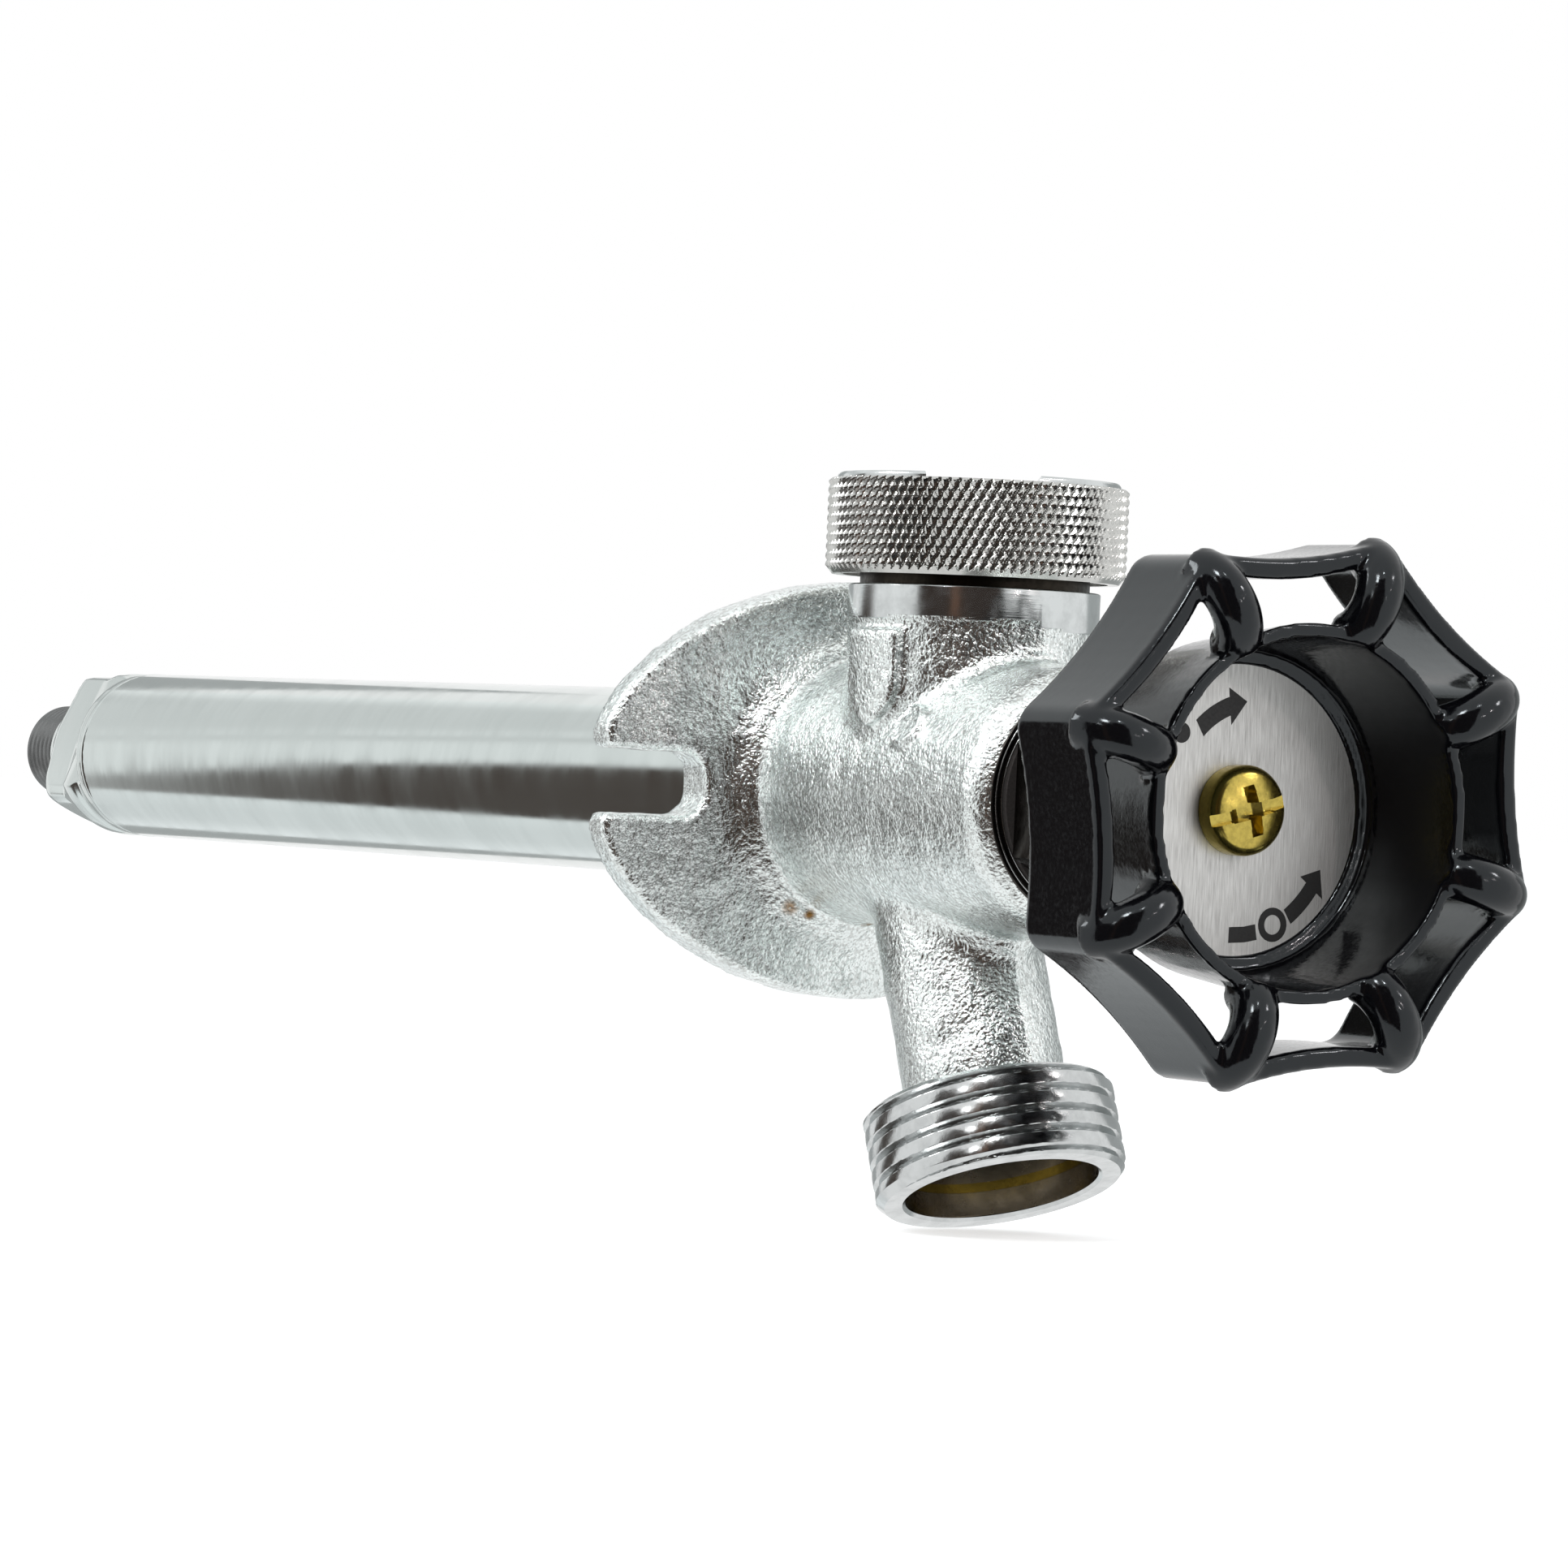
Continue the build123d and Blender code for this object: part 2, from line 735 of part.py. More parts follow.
# Swivelling washer holder with guide wings
swivel_pin_height = rod_groove_radius + swivel_pin_radius + running_clearance
swivel_pin_plane = Plane(origin=(0, groove_behind, swivel_pin_height), x_dir=(0, 1, 0), z_dir=(1, 0, 0))
cup_radius = washer_radius + fixed_clearance + washer_cup_wall
wing_start = holder_front_behind + wing_setback
washer_cup_back = washer_front_behind - holder_cup_length
screw_hole_end = seat_plane_behind - washer_screw_length - fixed_clearance
with BuildPart() as washer_holder:
    revolve(
        turned(
            (-holder_front_behind, 0),
            (-holder_front_behind, holder_neck_radius),
            (-washer_cup_back, holder_neck_radius),
            (-washer_cup_back, cup_radius),
            (-washer_front_behind - washer_cup_lip, cup_radius),
            (-washer_front_behind - washer_cup_lip, washer_radius + fixed_clearance),
            (-washer_front_behind, washer_radius + fixed_clearance),
            (-washer_front_behind, 0),
        ),
        axis=Axis.Y,
    )
    wing_tip = tube_bore_radius - wing_gap
    wing_plane = Plane(origin=(0, wing_start, 0), x_dir=(1, 0, 0), z_dir=(0, 1, 0))
    with BuildSketch(wing_plane):
        with PolarLocations(0, wing_count):
            Rectangle(wing_tip + overrun, wing_thickness, align=(Align.MIN, Align.CENTER))
        Circle(wing_tip, mode=Mode.INTERSECT)
    extrude(amount=wing_length)
    revolve(
        turned(
            (-holder_front_behind + overrun, 0),
            (-holder_front_behind + overrun, rod_radius + running_clearance),
            (-rod_end_behind, rod_radius + running_clearance),
            (-rod_end_behind, 0),
        ),
        axis=Axis.Y,
        mode=Mode.SUBTRACT,
    )
    revolve(
        turned(
            (-washer_front_behind - overrun, 0),
            (-washer_front_behind - overrun, washer_screw_radius + fixed_clearance),
            (-screw_hole_end, washer_screw_radius + fixed_clearance),
            (-screw_hole_end, 0),
        ),
        axis=Axis.Y,
        mode=Mode.SUBTRACT,
    )
    with BuildSketch(swivel_pin_plane):
        Circle(swivel_pin_radius + fixed_clearance)
    extrude(amount=tube_bore_radius, both=True, mode=Mode.SUBTRACT)
washer_holder.part.label = "washer_holder"
export_step(washer_holder.part, "parts/washer_holder.step")

swivel_pin_reach = sqrt(holder_neck_radius ** 2 - (swivel_pin_height + swivel_pin_radius) ** 2)
with BuildPart() as swivel_pin:
    with BuildSketch(swivel_pin_plane):
        Circle(swivel_pin_radius)
    extrude(amount=swivel_pin_reach, both=True)
swivel_pin.part.label = "swivel_pin"
export_step(swivel_pin.part, "parts/swivel_pin.step")

seat_washer = flat_ring(
    "seat_washer",
    -seat_plane_behind,
    washer_thickness,
    washer_screw_radius + fixed_clearance,
    washer_radius,
)


# Slotted screws: a turned head and shank with driver cuts
with BuildPart() as washer_screw:
    washer_screw_end = seat_plane_behind + washer_screw_head_length
    revolve(
        turned(
            (-washer_screw_end, 0),
            (-washer_screw_end, washer_screw_head_radius),
            (-seat_plane_behind, washer_screw_head_radius),
            (-seat_plane_behind, washer_screw_radius),
            (-seat_plane_behind + washer_screw_length, washer_screw_radius),
            (-seat_plane_behind + washer_screw_length, 0),
        ),
        axis=Axis.Y,
    )
    with BuildSketch(Plane.XZ.offset(-washer_screw_end)):
        Rectangle(2 * (washer_screw_head_radius + overrun), driver_slot_width)
    extrude(amount=driver_slot_depth, mode=Mode.SUBTRACT)
washer_screw.part.label = "washer_screw"
export_step(washer_screw.part, "parts/washer_screw.step")


# Hand wheel: lobed ring, cup with a floor and hub, and a round rib from each corner to the cup
def wheel_outline(shrink):
    step = 360 / wheel_lobes
    corner = wheel_corner_radius - shrink / cos(pi / wheel_lobes)
    side = wheel_side_radius - shrink
    with BuildSketch(Plane.XZ.offset(wheel_front_out - wheel_depth)) as outline:
        with BuildLine():
            for lobe in range(wheel_lobes):
                start = wheel_angle + lobe * step
                ThreePointArc(
                    polar_point(corner, start),
                    polar_point(side, start + step / 2),
                    polar_point(corner, start + step),
                )
        make_face()
        fillet(outline.vertices(), wheel_corner_round)
    return outline.sketch


def wheel_point(radius, out, angle):
    return (radius * cos(radians(angle)), -out, radius * sin(radians(angle)))


with BuildPart() as wheel_ring:
    extrude(wheel_outline(0), amount=wheel_depth)
    extrude(wheel_outline(wheel_wall), amount=wheel_depth, mode=Mode.SUBTRACT)
    fillet(wheel_ring.faces().sort_by(Axis.Y)[-1].edges(), wheel_back_round)
    chamfer(wheel_ring.faces().sort_by(Axis.Y)[0].edges(), wheel_front_chamfer)

with BuildPart() as handle:
    add(wheel_ring.part)
    revolve(
        turned(
            (hub_out, 0),
            (hub_out, cup_back_radius),
            (wheel_front_out, cup_rim_radius),
            (wheel_front_out, cup_mouth_radius),
            (cup_floor_out + lip_rise, cup_floor_radius),
            (cup_floor_out + lip_rise, plate_radius + fixed_clearance),
            (cup_floor_out, plate_radius + fixed_clearance),
            (cup_floor_out, 0),
        ),
        axis=Axis.Y,
    )
    revolve(
        turned((square_out, 0), (square_out, hub_radius), (hub_out, hub_radius), (hub_out, 0)),
        axis=Axis.Y,
    )
    for lobe in range(wheel_lobes):
        rib_angle = wheel_angle + lobe * 360 / wheel_lobes
        with BuildLine() as rib_path:
            ThreePointArc(
                wheel_point(rib_outer_radius, wheel_front_out - rib_foot_drop, rib_angle),
                wheel_point(rib_top_radius, wheel_front_out + rib_top_rise, rib_angle),
                wheel_point(rib_inner_radius, wheel_front_out - rib_foot_drop, rib_angle),
            )
        with BuildSketch(Plane(origin=rib_path.line @ 0, z_dir=rib_path.line % 0)):
            Circle(rib_radius)
        sweep(path=rib_path.line)
    cup_clear_out = cup_floor_out + lip_rise
    revolve(
        turned(
            (cup_clear_out, 0),
            (cup_clear_out, cup_floor_radius),
            (wheel_front_out, cup_mouth_radius),
            (wheel_front_out + 2 * rib_radius, cup_mouth_radius),
            (wheel_front_out + 2 * rib_radius, 0),
        ),
        axis=Axis.Y,
        mode=Mode.SUBTRACT,
    )
    with BuildSketch(Plane.XZ.offset(square_out - overrun)):
        square_hole = square_width + 2 * fixed_clearance
        Rectangle(square_hole, square_hole, rotation=wheel_angle)
    extrude(amount=square_length + 2 * overrun, mode=Mode.SUBTRACT)
handle.part.label = "handle"
export_step(handle.part, "parts/handle.step")

handle_plate = flat_ring(
    "handle_plate", cup_floor_out, plate_thickness, handle_screw_radius + fixed_clearance, plate_radius
)

plate_front_out = cup_floor_out + plate_thickness
with BuildPart() as handle_screw:
    head_front_out = plate_front_out + handle_screw_head_length
    edge_start = head_front_out - handle_screw_edge_round
    edge_end_radius = handle_screw_head_radius - handle_screw_edge_round
    with BuildSketch(main_profile_plane):
        with BuildLine():
            head_side = (edge_start, handle_screw_head_radius)
            head_face = (head_front_out, edge_end_radius)
            Polyline(
                (plate_front_out, handle_screw_radius),
                (plate_front_out, handle_screw_head_radius),
                head_side,
            )
            TangentArc(head_side, head_face, tangent=(1, 0))
            Polyline(
                head_face,
                (head_front_out, 0),
                (plate_front_out - handle_screw_length, 0),
                (plate_front_out - handle_screw_length, handle_screw_radius),
                (plate_front_out, handle_screw_radius),
            )
        make_face()
    revolve(axis=Axis.Y)
    with BuildSketch(Plane.XZ.offset(head_front_out)):
        Rectangle(2 * (handle_screw_head_radius + overrun), handle_slot_width, rotation=handle_slot_angle)
    extrude(amount=-handle_slot_depth, mode=Mode.SUBTRACT)
    with BuildSketch(Plane.XZ.offset(head_front_out)):
        Rectangle(2 * cross_reach, cross_width, rotation=handle_slot_angle)
        Rectangle(cross_width, 2 * cross_reach, rotation=handle_slot_angle)
    extrude(amount=-cross_depth, mode=Mode.SUBTRACT)
handle_screw.part.label = "handle_screw"
export_step(handle_screw.part, "parts/handle_screw.step")


# Vacuum breaker: screwed-in ring with the air port, its seal, the spider, the poppet and the knurled cap
breaker_outside = boss_bore_radius - fixed_clearance
flange_top = collar_top + breaker_flange_thickness
guide_top = boss_floor + guide_thickness
poppet_top = guide_top + poppet_thickness
breaker_seat_height = poppet_top + poppet_seal_thickness + poppet_travel + breaker_seat_gap
o_ring_circle = boss_bore_radius - o_ring_radius - fixed_clearance
o_ring_height = collar_top - o_ring_drop
port_top = breaker_seat_height + breaker_port_wall
hub_bottom = cap_top - cap_top_thickness - cap_hub_length
vent_height = (flange_top + hub_bottom) / 2
with BuildPart() as vacuum_breaker_bonnet:
    revolve(
        upright(
            (breaker_inner_radius, guide_top),
            (breaker_outside, guide_top),
            (breaker_outside, collar_top),
            (breaker_flange_radius, collar_top),
            (breaker_flange_radius, flange_top),
            (breaker_neck_radius, flange_top),
            (breaker_neck_radius, breaker_neck_top),
            (breaker_neck_radius - breaker_port_wall, breaker_neck_top),
            (breaker_neck_radius - breaker_port_wall, port_top),
            (breaker_port_radius, port_top),
            (breaker_port_radius, breaker_seat_height),
            (breaker_inner_radius, breaker_seat_height),
        ),
        axis=boss_axis,
    )
    with BuildSketch(Plane(origin=(0, -boss_out, vent_height), z_dir=(0, 0, 1))):
        with PolarLocations(0, breaker_vent_count):
            vent_reach = breaker_neck_radius + overrun
            Rectangle(vent_reach, 2 * breaker_vent_radius, align=(Align.MIN, Align.CENTER))
        Circle(breaker_port_radius, mode=Mode.SUBTRACT)
    extrude(amount=breaker_vent_radius, both=True, mode=Mode.SUBTRACT)
    with BuildSketch(upright_plane):
        with Locations((o_ring_circle, o_ring_height)):
            groove_side = 2 * (o_ring_radius + fixed_clearance)
            Rectangle(groove_side, groove_side)
    revolve(axis=boss_axis, mode=Mode.SUBTRACT)
vacuum_breaker_bonnet.part.label = "vacuum_breaker_bonnet"
export_step(vacuum_breaker_bonnet.part, "parts/vacuum_breaker_bonnet.step")

with BuildPart() as bonnet_o_ring:
    with BuildSketch(upright_plane):
        with Locations((o_ring_circle, o_ring_height)):
            Circle(o_ring_radius)
    revolve(axis=boss_axis)
bonnet_o_ring.part.label = "bonnet_o_ring"
export_step(bonnet_o_ring.part, "parts/bonnet_o_ring.step")

with BuildPart() as vacuum_breaker_guide:
    with BuildSketch(Plane(origin=(0, -boss_out, boss_floor), z_dir=(0, 0, 1))):
        Circle(guide_radius)
        Circle(poppet_stem_radius + running_clearance, mode=Mode.SUBTRACT)
        with PolarLocations(guide_window_circle, guide_window_count):
            Circle(guide_window_radius, mode=Mode.SUBTRACT)
    extrude(amount=guide_thickness)
vacuum_breaker_guide.part.label = "vacuum_breaker_guide"
export_step(vacuum_breaker_guide.part, "parts/vacuum_breaker_guide.step")

with BuildPart() as vacuum_breaker_poppet:
    revolve(
        upright(
            (0, guide_top - poppet_stem_length),
            (poppet_stem_radius, guide_top - poppet_stem_length),
            (poppet_stem_radius, guide_top),
            (poppet_radius, guide_top),
            (poppet_radius, poppet_top),
            (poppet_spigot_radius, poppet_top),
            (poppet_spigot_radius, poppet_top + poppet_spigot_length),
            (0, poppet_top + poppet_spigot_length),
        ),
        axis=boss_axis,
    )
vacuum_breaker_poppet.part.label = "vacuum_breaker_poppet"
export_step(vacuum_breaker_poppet.part, "parts/vacuum_breaker_poppet.step")

with BuildPart() as poppet_seal:
    with BuildSketch(Plane(origin=(0, -boss_out, poppet_top), z_dir=(0, 0, 1))):
        Circle(poppet_seal_radius)
        Circle(poppet_spigot_radius + fixed_clearance, mode=Mode.SUBTRACT)
    extrude(amount=poppet_seal_thickness)
poppet_seal.part.label = "poppet_seal"
export_step(poppet_seal.part, "parts/poppet_seal.step")

with BuildPart() as vacuum_breaker_cap:
    cavity_top = cap_top - cap_top_thickness
    revolve(
        upright(
            (0, cap_top),
            (cap_radius - cap_edge_chamfer, cap_top),
            (cap_radius, cap_top - cap_edge_chamfer),
            (cap_radius, cap_bottom + cap_edge_chamfer),
            (cap_radius - cap_edge_chamfer, cap_bottom),
            (cap_cavity_radius, cap_bottom),
            (cap_cavity_radius, cavity_top),
            (cap_hub_radius, cavity_top),
            (cap_hub_radius, hub_bottom),
            (breaker_neck_radius + fixed_clearance, hub_bottom),
            (breaker_neck_radius + fixed_clearance, cavity_top),
            (0, cavity_top),
        ),
        axis=boss_axis,
    )
    with BuildSketch(Plane(origin=(0, -boss_out, cap_top), z_dir=(0, 0, 1))):
        Circle(cap_pad_radius)
        Rectangle(cap_pad_gap, 2 * (cap_pad_radius + overrun), rotation=cap_pad_angle, mode=Mode.SUBTRACT)
    extrude(amount=cap_pad_rise)
vacuum_breaker_cap.part.label = "vacuum_breaker_cap"
export_step(vacuum_breaker_cap.part, "parts/vacuum_breaker_cap.step")
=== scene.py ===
from math import atan2, cos, exp, hypot, pi, radians, sin, sqrt

import bmesh
import bpy
import numpy as np
from mathutils import Matrix, Vector


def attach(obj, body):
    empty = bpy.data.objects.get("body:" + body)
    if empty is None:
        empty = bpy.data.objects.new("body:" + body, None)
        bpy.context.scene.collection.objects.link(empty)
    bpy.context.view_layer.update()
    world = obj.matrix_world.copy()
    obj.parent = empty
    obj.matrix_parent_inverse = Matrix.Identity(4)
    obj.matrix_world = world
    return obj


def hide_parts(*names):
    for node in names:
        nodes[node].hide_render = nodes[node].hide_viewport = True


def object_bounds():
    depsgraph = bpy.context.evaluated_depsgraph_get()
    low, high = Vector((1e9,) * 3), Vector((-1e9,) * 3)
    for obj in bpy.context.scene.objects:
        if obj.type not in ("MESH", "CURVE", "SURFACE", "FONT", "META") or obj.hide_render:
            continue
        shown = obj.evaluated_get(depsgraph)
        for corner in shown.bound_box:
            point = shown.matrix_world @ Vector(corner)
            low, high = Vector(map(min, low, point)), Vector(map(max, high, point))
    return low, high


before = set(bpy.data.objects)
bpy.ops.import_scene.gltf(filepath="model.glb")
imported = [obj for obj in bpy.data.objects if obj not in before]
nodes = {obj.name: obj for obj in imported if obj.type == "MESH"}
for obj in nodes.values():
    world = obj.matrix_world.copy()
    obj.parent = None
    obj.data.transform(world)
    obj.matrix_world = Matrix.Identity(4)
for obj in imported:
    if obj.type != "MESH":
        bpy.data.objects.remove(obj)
cad_bounds = [list(corner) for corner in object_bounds()]

# The frame is in metres: +Y goes into the wall, -Y towards the user, +Z is up.
# Sizes here are in millimetres.
MM = 0.001
TURN = 2 * pi

# Camera, found from the photograph
camera_place = (-399.07, -652.72, 2.28)
camera_yaw = 30.989
camera_pitch = -0.129
camera_roll = 2.608
camera_lens = 159.45
camera_sensor = 36.0

# Vacuum breaker boss and its collar
boss_centre_y = -26.0
boss_radius = 13.3
boss_top = 18.6
collar_radius = 13.5
collar_top = 22.2
collar_edge = 0.25
boss_bore = 10.6

# Spout and hose thread
spout_root_y = -19.8
spout_tilt = 22.4
spout_length = 44.79
neck_radius = 8.7
thread_length = 10.0
thread_radius = 13.45
thread_depth = 0.80
thread_groove_share = 0.40
thread_pitch = 25.4 / 11.5
thread_lead_in = 0.8
thread_run_out = 0.55
thread_crown = 0.10
thread_steps = 200
thread_segments = 224
mouth_bore = 10.38
mouth_lip = 0.35
mouth_depth = 7.0
neck_bore = 6.2

# Barrel
barrel_front_y = -51.0
barrel_front_radius = 12.7
barrel_face_rise = 0.06
barrel_ring_radii = (12.2, 11.5, 10.9)
bonnet_bore = 10.0

# Cap
cap_low = 23.2
cap_high = 33.4
cap_radius = 16.1
cap_cavity = 14.2
cap_top_thickness = 2.0
cap_rows = 110
cap_pad_rise = 0.6
cap_pad_radius = 15.2
cap_pad_gap = 12.0
cap_pad_angle = -31.0
knurl_count = 90
knurl_slant = 0.56
knurl_depth = 0.48
knurl_cross_depth = 0.30
knurl_land_share = 0.20
cap_foot = 0.75
cap_brow = 0.3

# Small forms of the casting: lumps as (height, width, seed), a plain round pad, the mould's ridge
# and a shallow line round the root of the barrel
cast_lumps = ((0.10, 2.6, 1), (0.05, 1.1, 2))
spout_lumps = (0.08, 1.9, 5)
spout_lumps_top = -18.0
pad_centre = (-12.5, -34.2, 7.1)
pad_radius = 2.5
pad_rise = 0.5
pad_rim = 0.28
ridge_height = 0.75
ridge_half_width = 7.0
root_radius = 15.1
root_depth = 0.34

# Rusty stains: centre and radius
stains = (((-9.8, -7.4, -13.3), 1.5), ((-7.4, -7.4, -13.8), 0.9), ((-0.6, -8.2, -14.4), 0.8))

# Skins remeshed from the solids: size of their faces, and rounds of smoothing
cast_voxel = 0.34
cast_rounds = 3
wheel_voxel = 0.36
wheel_rounds = 14
inlet_voxel = 0.24
inlet_first_rounds = 4
inlet_last_rounds = 14

# Inner corners of the open slots: the solid's radius, and the rounder one of the photograph
slot_inner = 19.8
slot_half = 3.45
slot_corner = 1.7
slot_corner_seen = 2.9

# Tube, and the stub of the inlet fitting
tube_radius = 10.65
tube_end = 172.5
tube_bead = 0.32
stub_start = 192.1
stub_end = 199.5
stub_radius = 6.05
stub_tip = 200.0
stub_rings = 6
stub_ring_depth = 0.26

# Soft flats of the inlet fitting: angle and distance from the axis, and how they run in
inlet_flats = ((12.0, 7.2), (-66.0, 9.2), (192.0, 7.2), (114.0, 9.2))
flat_start = 176.5
flat_run = 6.0
flat_softness = 0.7

# Screw that holds the hand wheel
screw_radius = 4.6
screw_top_y = -80.2
screw_seat_y = -76.85
screw_dome = 1.0
screw_round = 0.85
screw_slot_half = 0.58
screw_slot_depth = 1.5
screw_slot_angle = 16.0
screw_cross_half = 0.66
screw_cross_reach = 2.5
screw_cross_depth = 2.0
screw_cross_flat = 0.9
screw_cross_slope = 0.45

# Plate of the hand wheel
plate_front_y = -76.8

# Cards that only reflections see. Angles run round the object from the camera's side.
dark_side_span = (-54, 26)
dark_side_strips = 10
dark_side_distance = 0.9
dark_side_low = -0.75
grey_edges = ((124, 146), (146, 168), (-168, -146))
grey_edge_distance = 1.1
grey_edge_low = -0.6
card_top = 0.42
card_high_top = 0.85

# Lamps: name, place, target, side of the square, power and colour
lamps = (
    ("key", (-0.55, -0.55, 0.75), (0, 0, 0), 0.16, 2.1, (1, 1, 1)),
    ("side", (0.55, -0.75, 0.60), (0, -0.05, 0), 0.12, 0.8, (1.0, 0.93, 0.93)),
    ("rear", (-0.75, 0.35, 0.55), (0, 0.05, 0), 0.30, 2.2, (1, 1, 1)),
    ("glint_left", (-0.80, -0.50, 0.42), (0, -0.05, 0), 0.03, 0.4, (1, 1, 1)),
    ("glint_right", (0.35, -0.95, 0.30), (0, -0.05, 0), 0.03, 0.25, (1.0, 0.84, 0.82)),
    ("glint_high", (-0.15, -0.75, 0.95), (0, -0.05, 0), 0.04, 0.5, (1, 1, 1)),
    ("glint_low", (0.10, -0.90, 0.12), (0, -0.05, 0), 0.02, 0.08, (1.0, 0.88, 0.86)),
)


def smooth(x):
    """Eases a share from 0 to 1."""
    return x * x * (3 - 2 * x)


def spout_frame():
    """Origin, direction along the spout and two directions across it."""
    tilt = radians(spout_tilt)
    along = Vector((0, -sin(tilt), -cos(tilt)))
    across = Vector((1, 0, 0))
    return Vector((0, spout_root_y, 0)), along, across, along.cross(across)


def boss_frame():
    return Vector((0, boss_centre_y, 0)), Vector((0, 0, 1)), Vector((1, 0, 0)), Vector((0, 1, 0))


def main_frame():
    return Vector((0, 0, 0)), Vector((0, 1, 0)), Vector((0, 0, 1)), Vector((1, 0, 0))


def add_mesh(name, verts, faces, smooth=True):
    mesh = bpy.data.meshes.new(name)
    mesh.from_pydata([tuple(v) for v in verts], [], faces)
    mesh.validate()
    bm = bmesh.new()
    bm.from_mesh(mesh)
    bmesh.ops.remove_doubles(bm, verts=bm.verts, dist=1e-7)
    bmesh.ops.recalc_face_normals(bm, faces=bm.faces)
    bm.to_mesh(mesh)
    bm.free()
    for polygon in mesh.polygons:
        polygon.use_smooth = smooth
    piece = bpy.data.objects.new(name, mesh)
    bpy.context.scene.collection.objects.link(piece)
    return piece


def sharpen(piece, angle=35.0):
    """Keeps edges sharper than the angle crisp while the rest shades smooth."""
    mesh = piece.data
    bm = bmesh.new()
    bm.from_mesh(mesh)
    for edge in bm.edges:
        if len(edge.link_faces) == 2:
            edge.smooth = edge.calc_face_angle(0) < radians(angle)
    bm.to_mesh(mesh)
    bm.free()
    return piece


def swept(name, axes, profile_at, segments=192, closed=True):
    """Carries (along, radius) points round an axis. The profile may change with the angle."""
    origin, along, across, third = axes
    verts, faces = [], []
    for i in range(segments):
        angle = TURN * i / segments
        out = across * cos(angle) + third * sin(angle)
        profile = profile_at(angle)
        verts += [(origin + along * t + out * r) * MM for t, r in profile]
    count = len(profile)
    for i in range(segments):
        j = (i + 1) % segments
        for k in range(count if closed else count - 1):
            m = (k + 1) % count
            faces.append((i * count + k, j * count + k, j * count + m, i * count + m))
    return add_mesh(name, verts, faces)


def turned(name, profile, axes, segments=192, closed=True):
    return swept(name, axes, lambda angle: profile, segments, closed)


def rounded(points, radius, steps=4):
    """A profile with its corners cut by short curves. Each point may carry its own radius."""
    out = []
    count = len(points)
    for i in range(count):
        here = Vector(points[i][:2])
        size = points[i][2] if len(points[i]) > 2 else radius
        before = Vector(points[i - 1][:2]) - here
        after = Vector(points[(i + 1) % count][:2]) - here
        reach = min(size, before.length * 0.45, after.length * 0.45)
        if reach <= 0:
            out.append(tuple(here))
            continue
        a = here + before.normalized() * reach
        b = here + after.normalized() * reach
        for s in range(steps + 1):
            u = s / steps
            p = a * (1 - u) ** 2 + here * 2 * u * (1 - u) + b * u ** 2
            out.append(tuple(p))
    return out


# Noise on a lattice, the same on each run
def lattice(ix, iy, iz, seed):
    h = (ix * 374761393 + iy * 668265263 + iz * 2147483647 + seed * 1274126177) & 0xFFFFFFFF
    h = ((h ^ (h >> 13)) * 1274126177) & 0xFFFFFFFF
    return ((h ^ (h >> 16)) & 0xFFFF) / 32767.5 - 1.0


def noise(points, size, seed):
    """Smooth noise from -1 to 1 at points in millimetres, with lumps of the given size."""
    p = points / size
    cell = np.floor(p).astype(np.int64)
    f = p - cell
    f = smooth(f)
    total = np.zeros(len(points))
    for dx in (0, 1):
        for dy in (0, 1):
            for dz in (0, 1):
                weight = (f[:, 0] if dx else 1 - f[:, 0]) * (f[:, 1] if dy else 1 - f[:, 1])
                weight = weight * (f[:, 2] if dz else 1 - f[:, 2])
                total += weight * lattice(cell[:, 0] + dx, cell[:, 1] + dy, cell[:, 2] + dz, seed)
    return total


def coordinates(mesh):
    co = np.empty(len(mesh.vertices) * 3, np.float32)
    mesh.vertices.foreach_get("co", co)
    return co.reshape(-1, 3).astype(float) / MM


def set_coordinates(mesh, co):
    mesh.vertices.foreach_set("co", (co * MM).astype(np.float32).ravel())
    mesh.update()


def normals(mesh):
    no = np.empty(len(mesh.vertices) * 3, np.float32)
    mesh.vertices.foreach_get("normal", no)
    return no.reshape(-1, 3).astype(float)


def remeshed(node, name, voxel):
    """A copy of a CAD node as one even skin of small faces."""
    mesh = nodes[node].data.copy()
    bm = bmesh.new()
    bm.from_mesh(mesh)
    bmesh.ops.remove_doubles(bm, verts=bm.verts, dist=1e-6)
    bm.to_mesh(mesh)
    bm.free()
    source = bpy.data.objects.new(name + "_source", mesh)
    bpy.context.scene.collection.objects.link(source)
    remesh = source.modifiers.new("remesh", "REMESH")
    remesh.mode = "VOXEL"
    remesh.voxel_size = voxel * MM
    bpy.context.view_layer.update()
    evaluated = source.evaluated_get(bpy.context.evaluated_depsgraph_get())
    skin = bpy.data.meshes.new_from_object(evaluated)
    bpy.data.objects.remove(source)
    skin.name = name
    for polygon in skin.polygons:
        polygon.use_smooth = True
    skin.materials.clear()
    piece = bpy.data.objects.new(name, skin)
    bpy.context.scene.collection.objects.link(piece)
    return piece


def relax(mesh, rounds, keep=None, strength=0.5):
    """Evens out a skin, and swells it back after each step so that it doesn't shrink."""
    co = coordinates(mesh)
    edges = np.empty(len(mesh.edges) * 2, np.int64)
    mesh.edges.foreach_get("vertices", edges)
    edges = edges.reshape(-1, 2)
    degree = np.bincount(edges.ravel(), minlength=len(co)).astype(float)[:, None]
    weight = np.ones((len(co), 1)) if keep is None else (1 - keep)[:, None]
    for i in range(rounds):
        for amount in (strength, -strength * 1.04):
            total = np.zeros_like(co)
            np.add.at(total, edges[:, 0], co[edges[:, 1]])
            np.add.at(total, edges[:, 1], co[edges[:, 0]])
            co = co + (total / degree - co) * amount * weight
    set_coordinates(mesh, co)


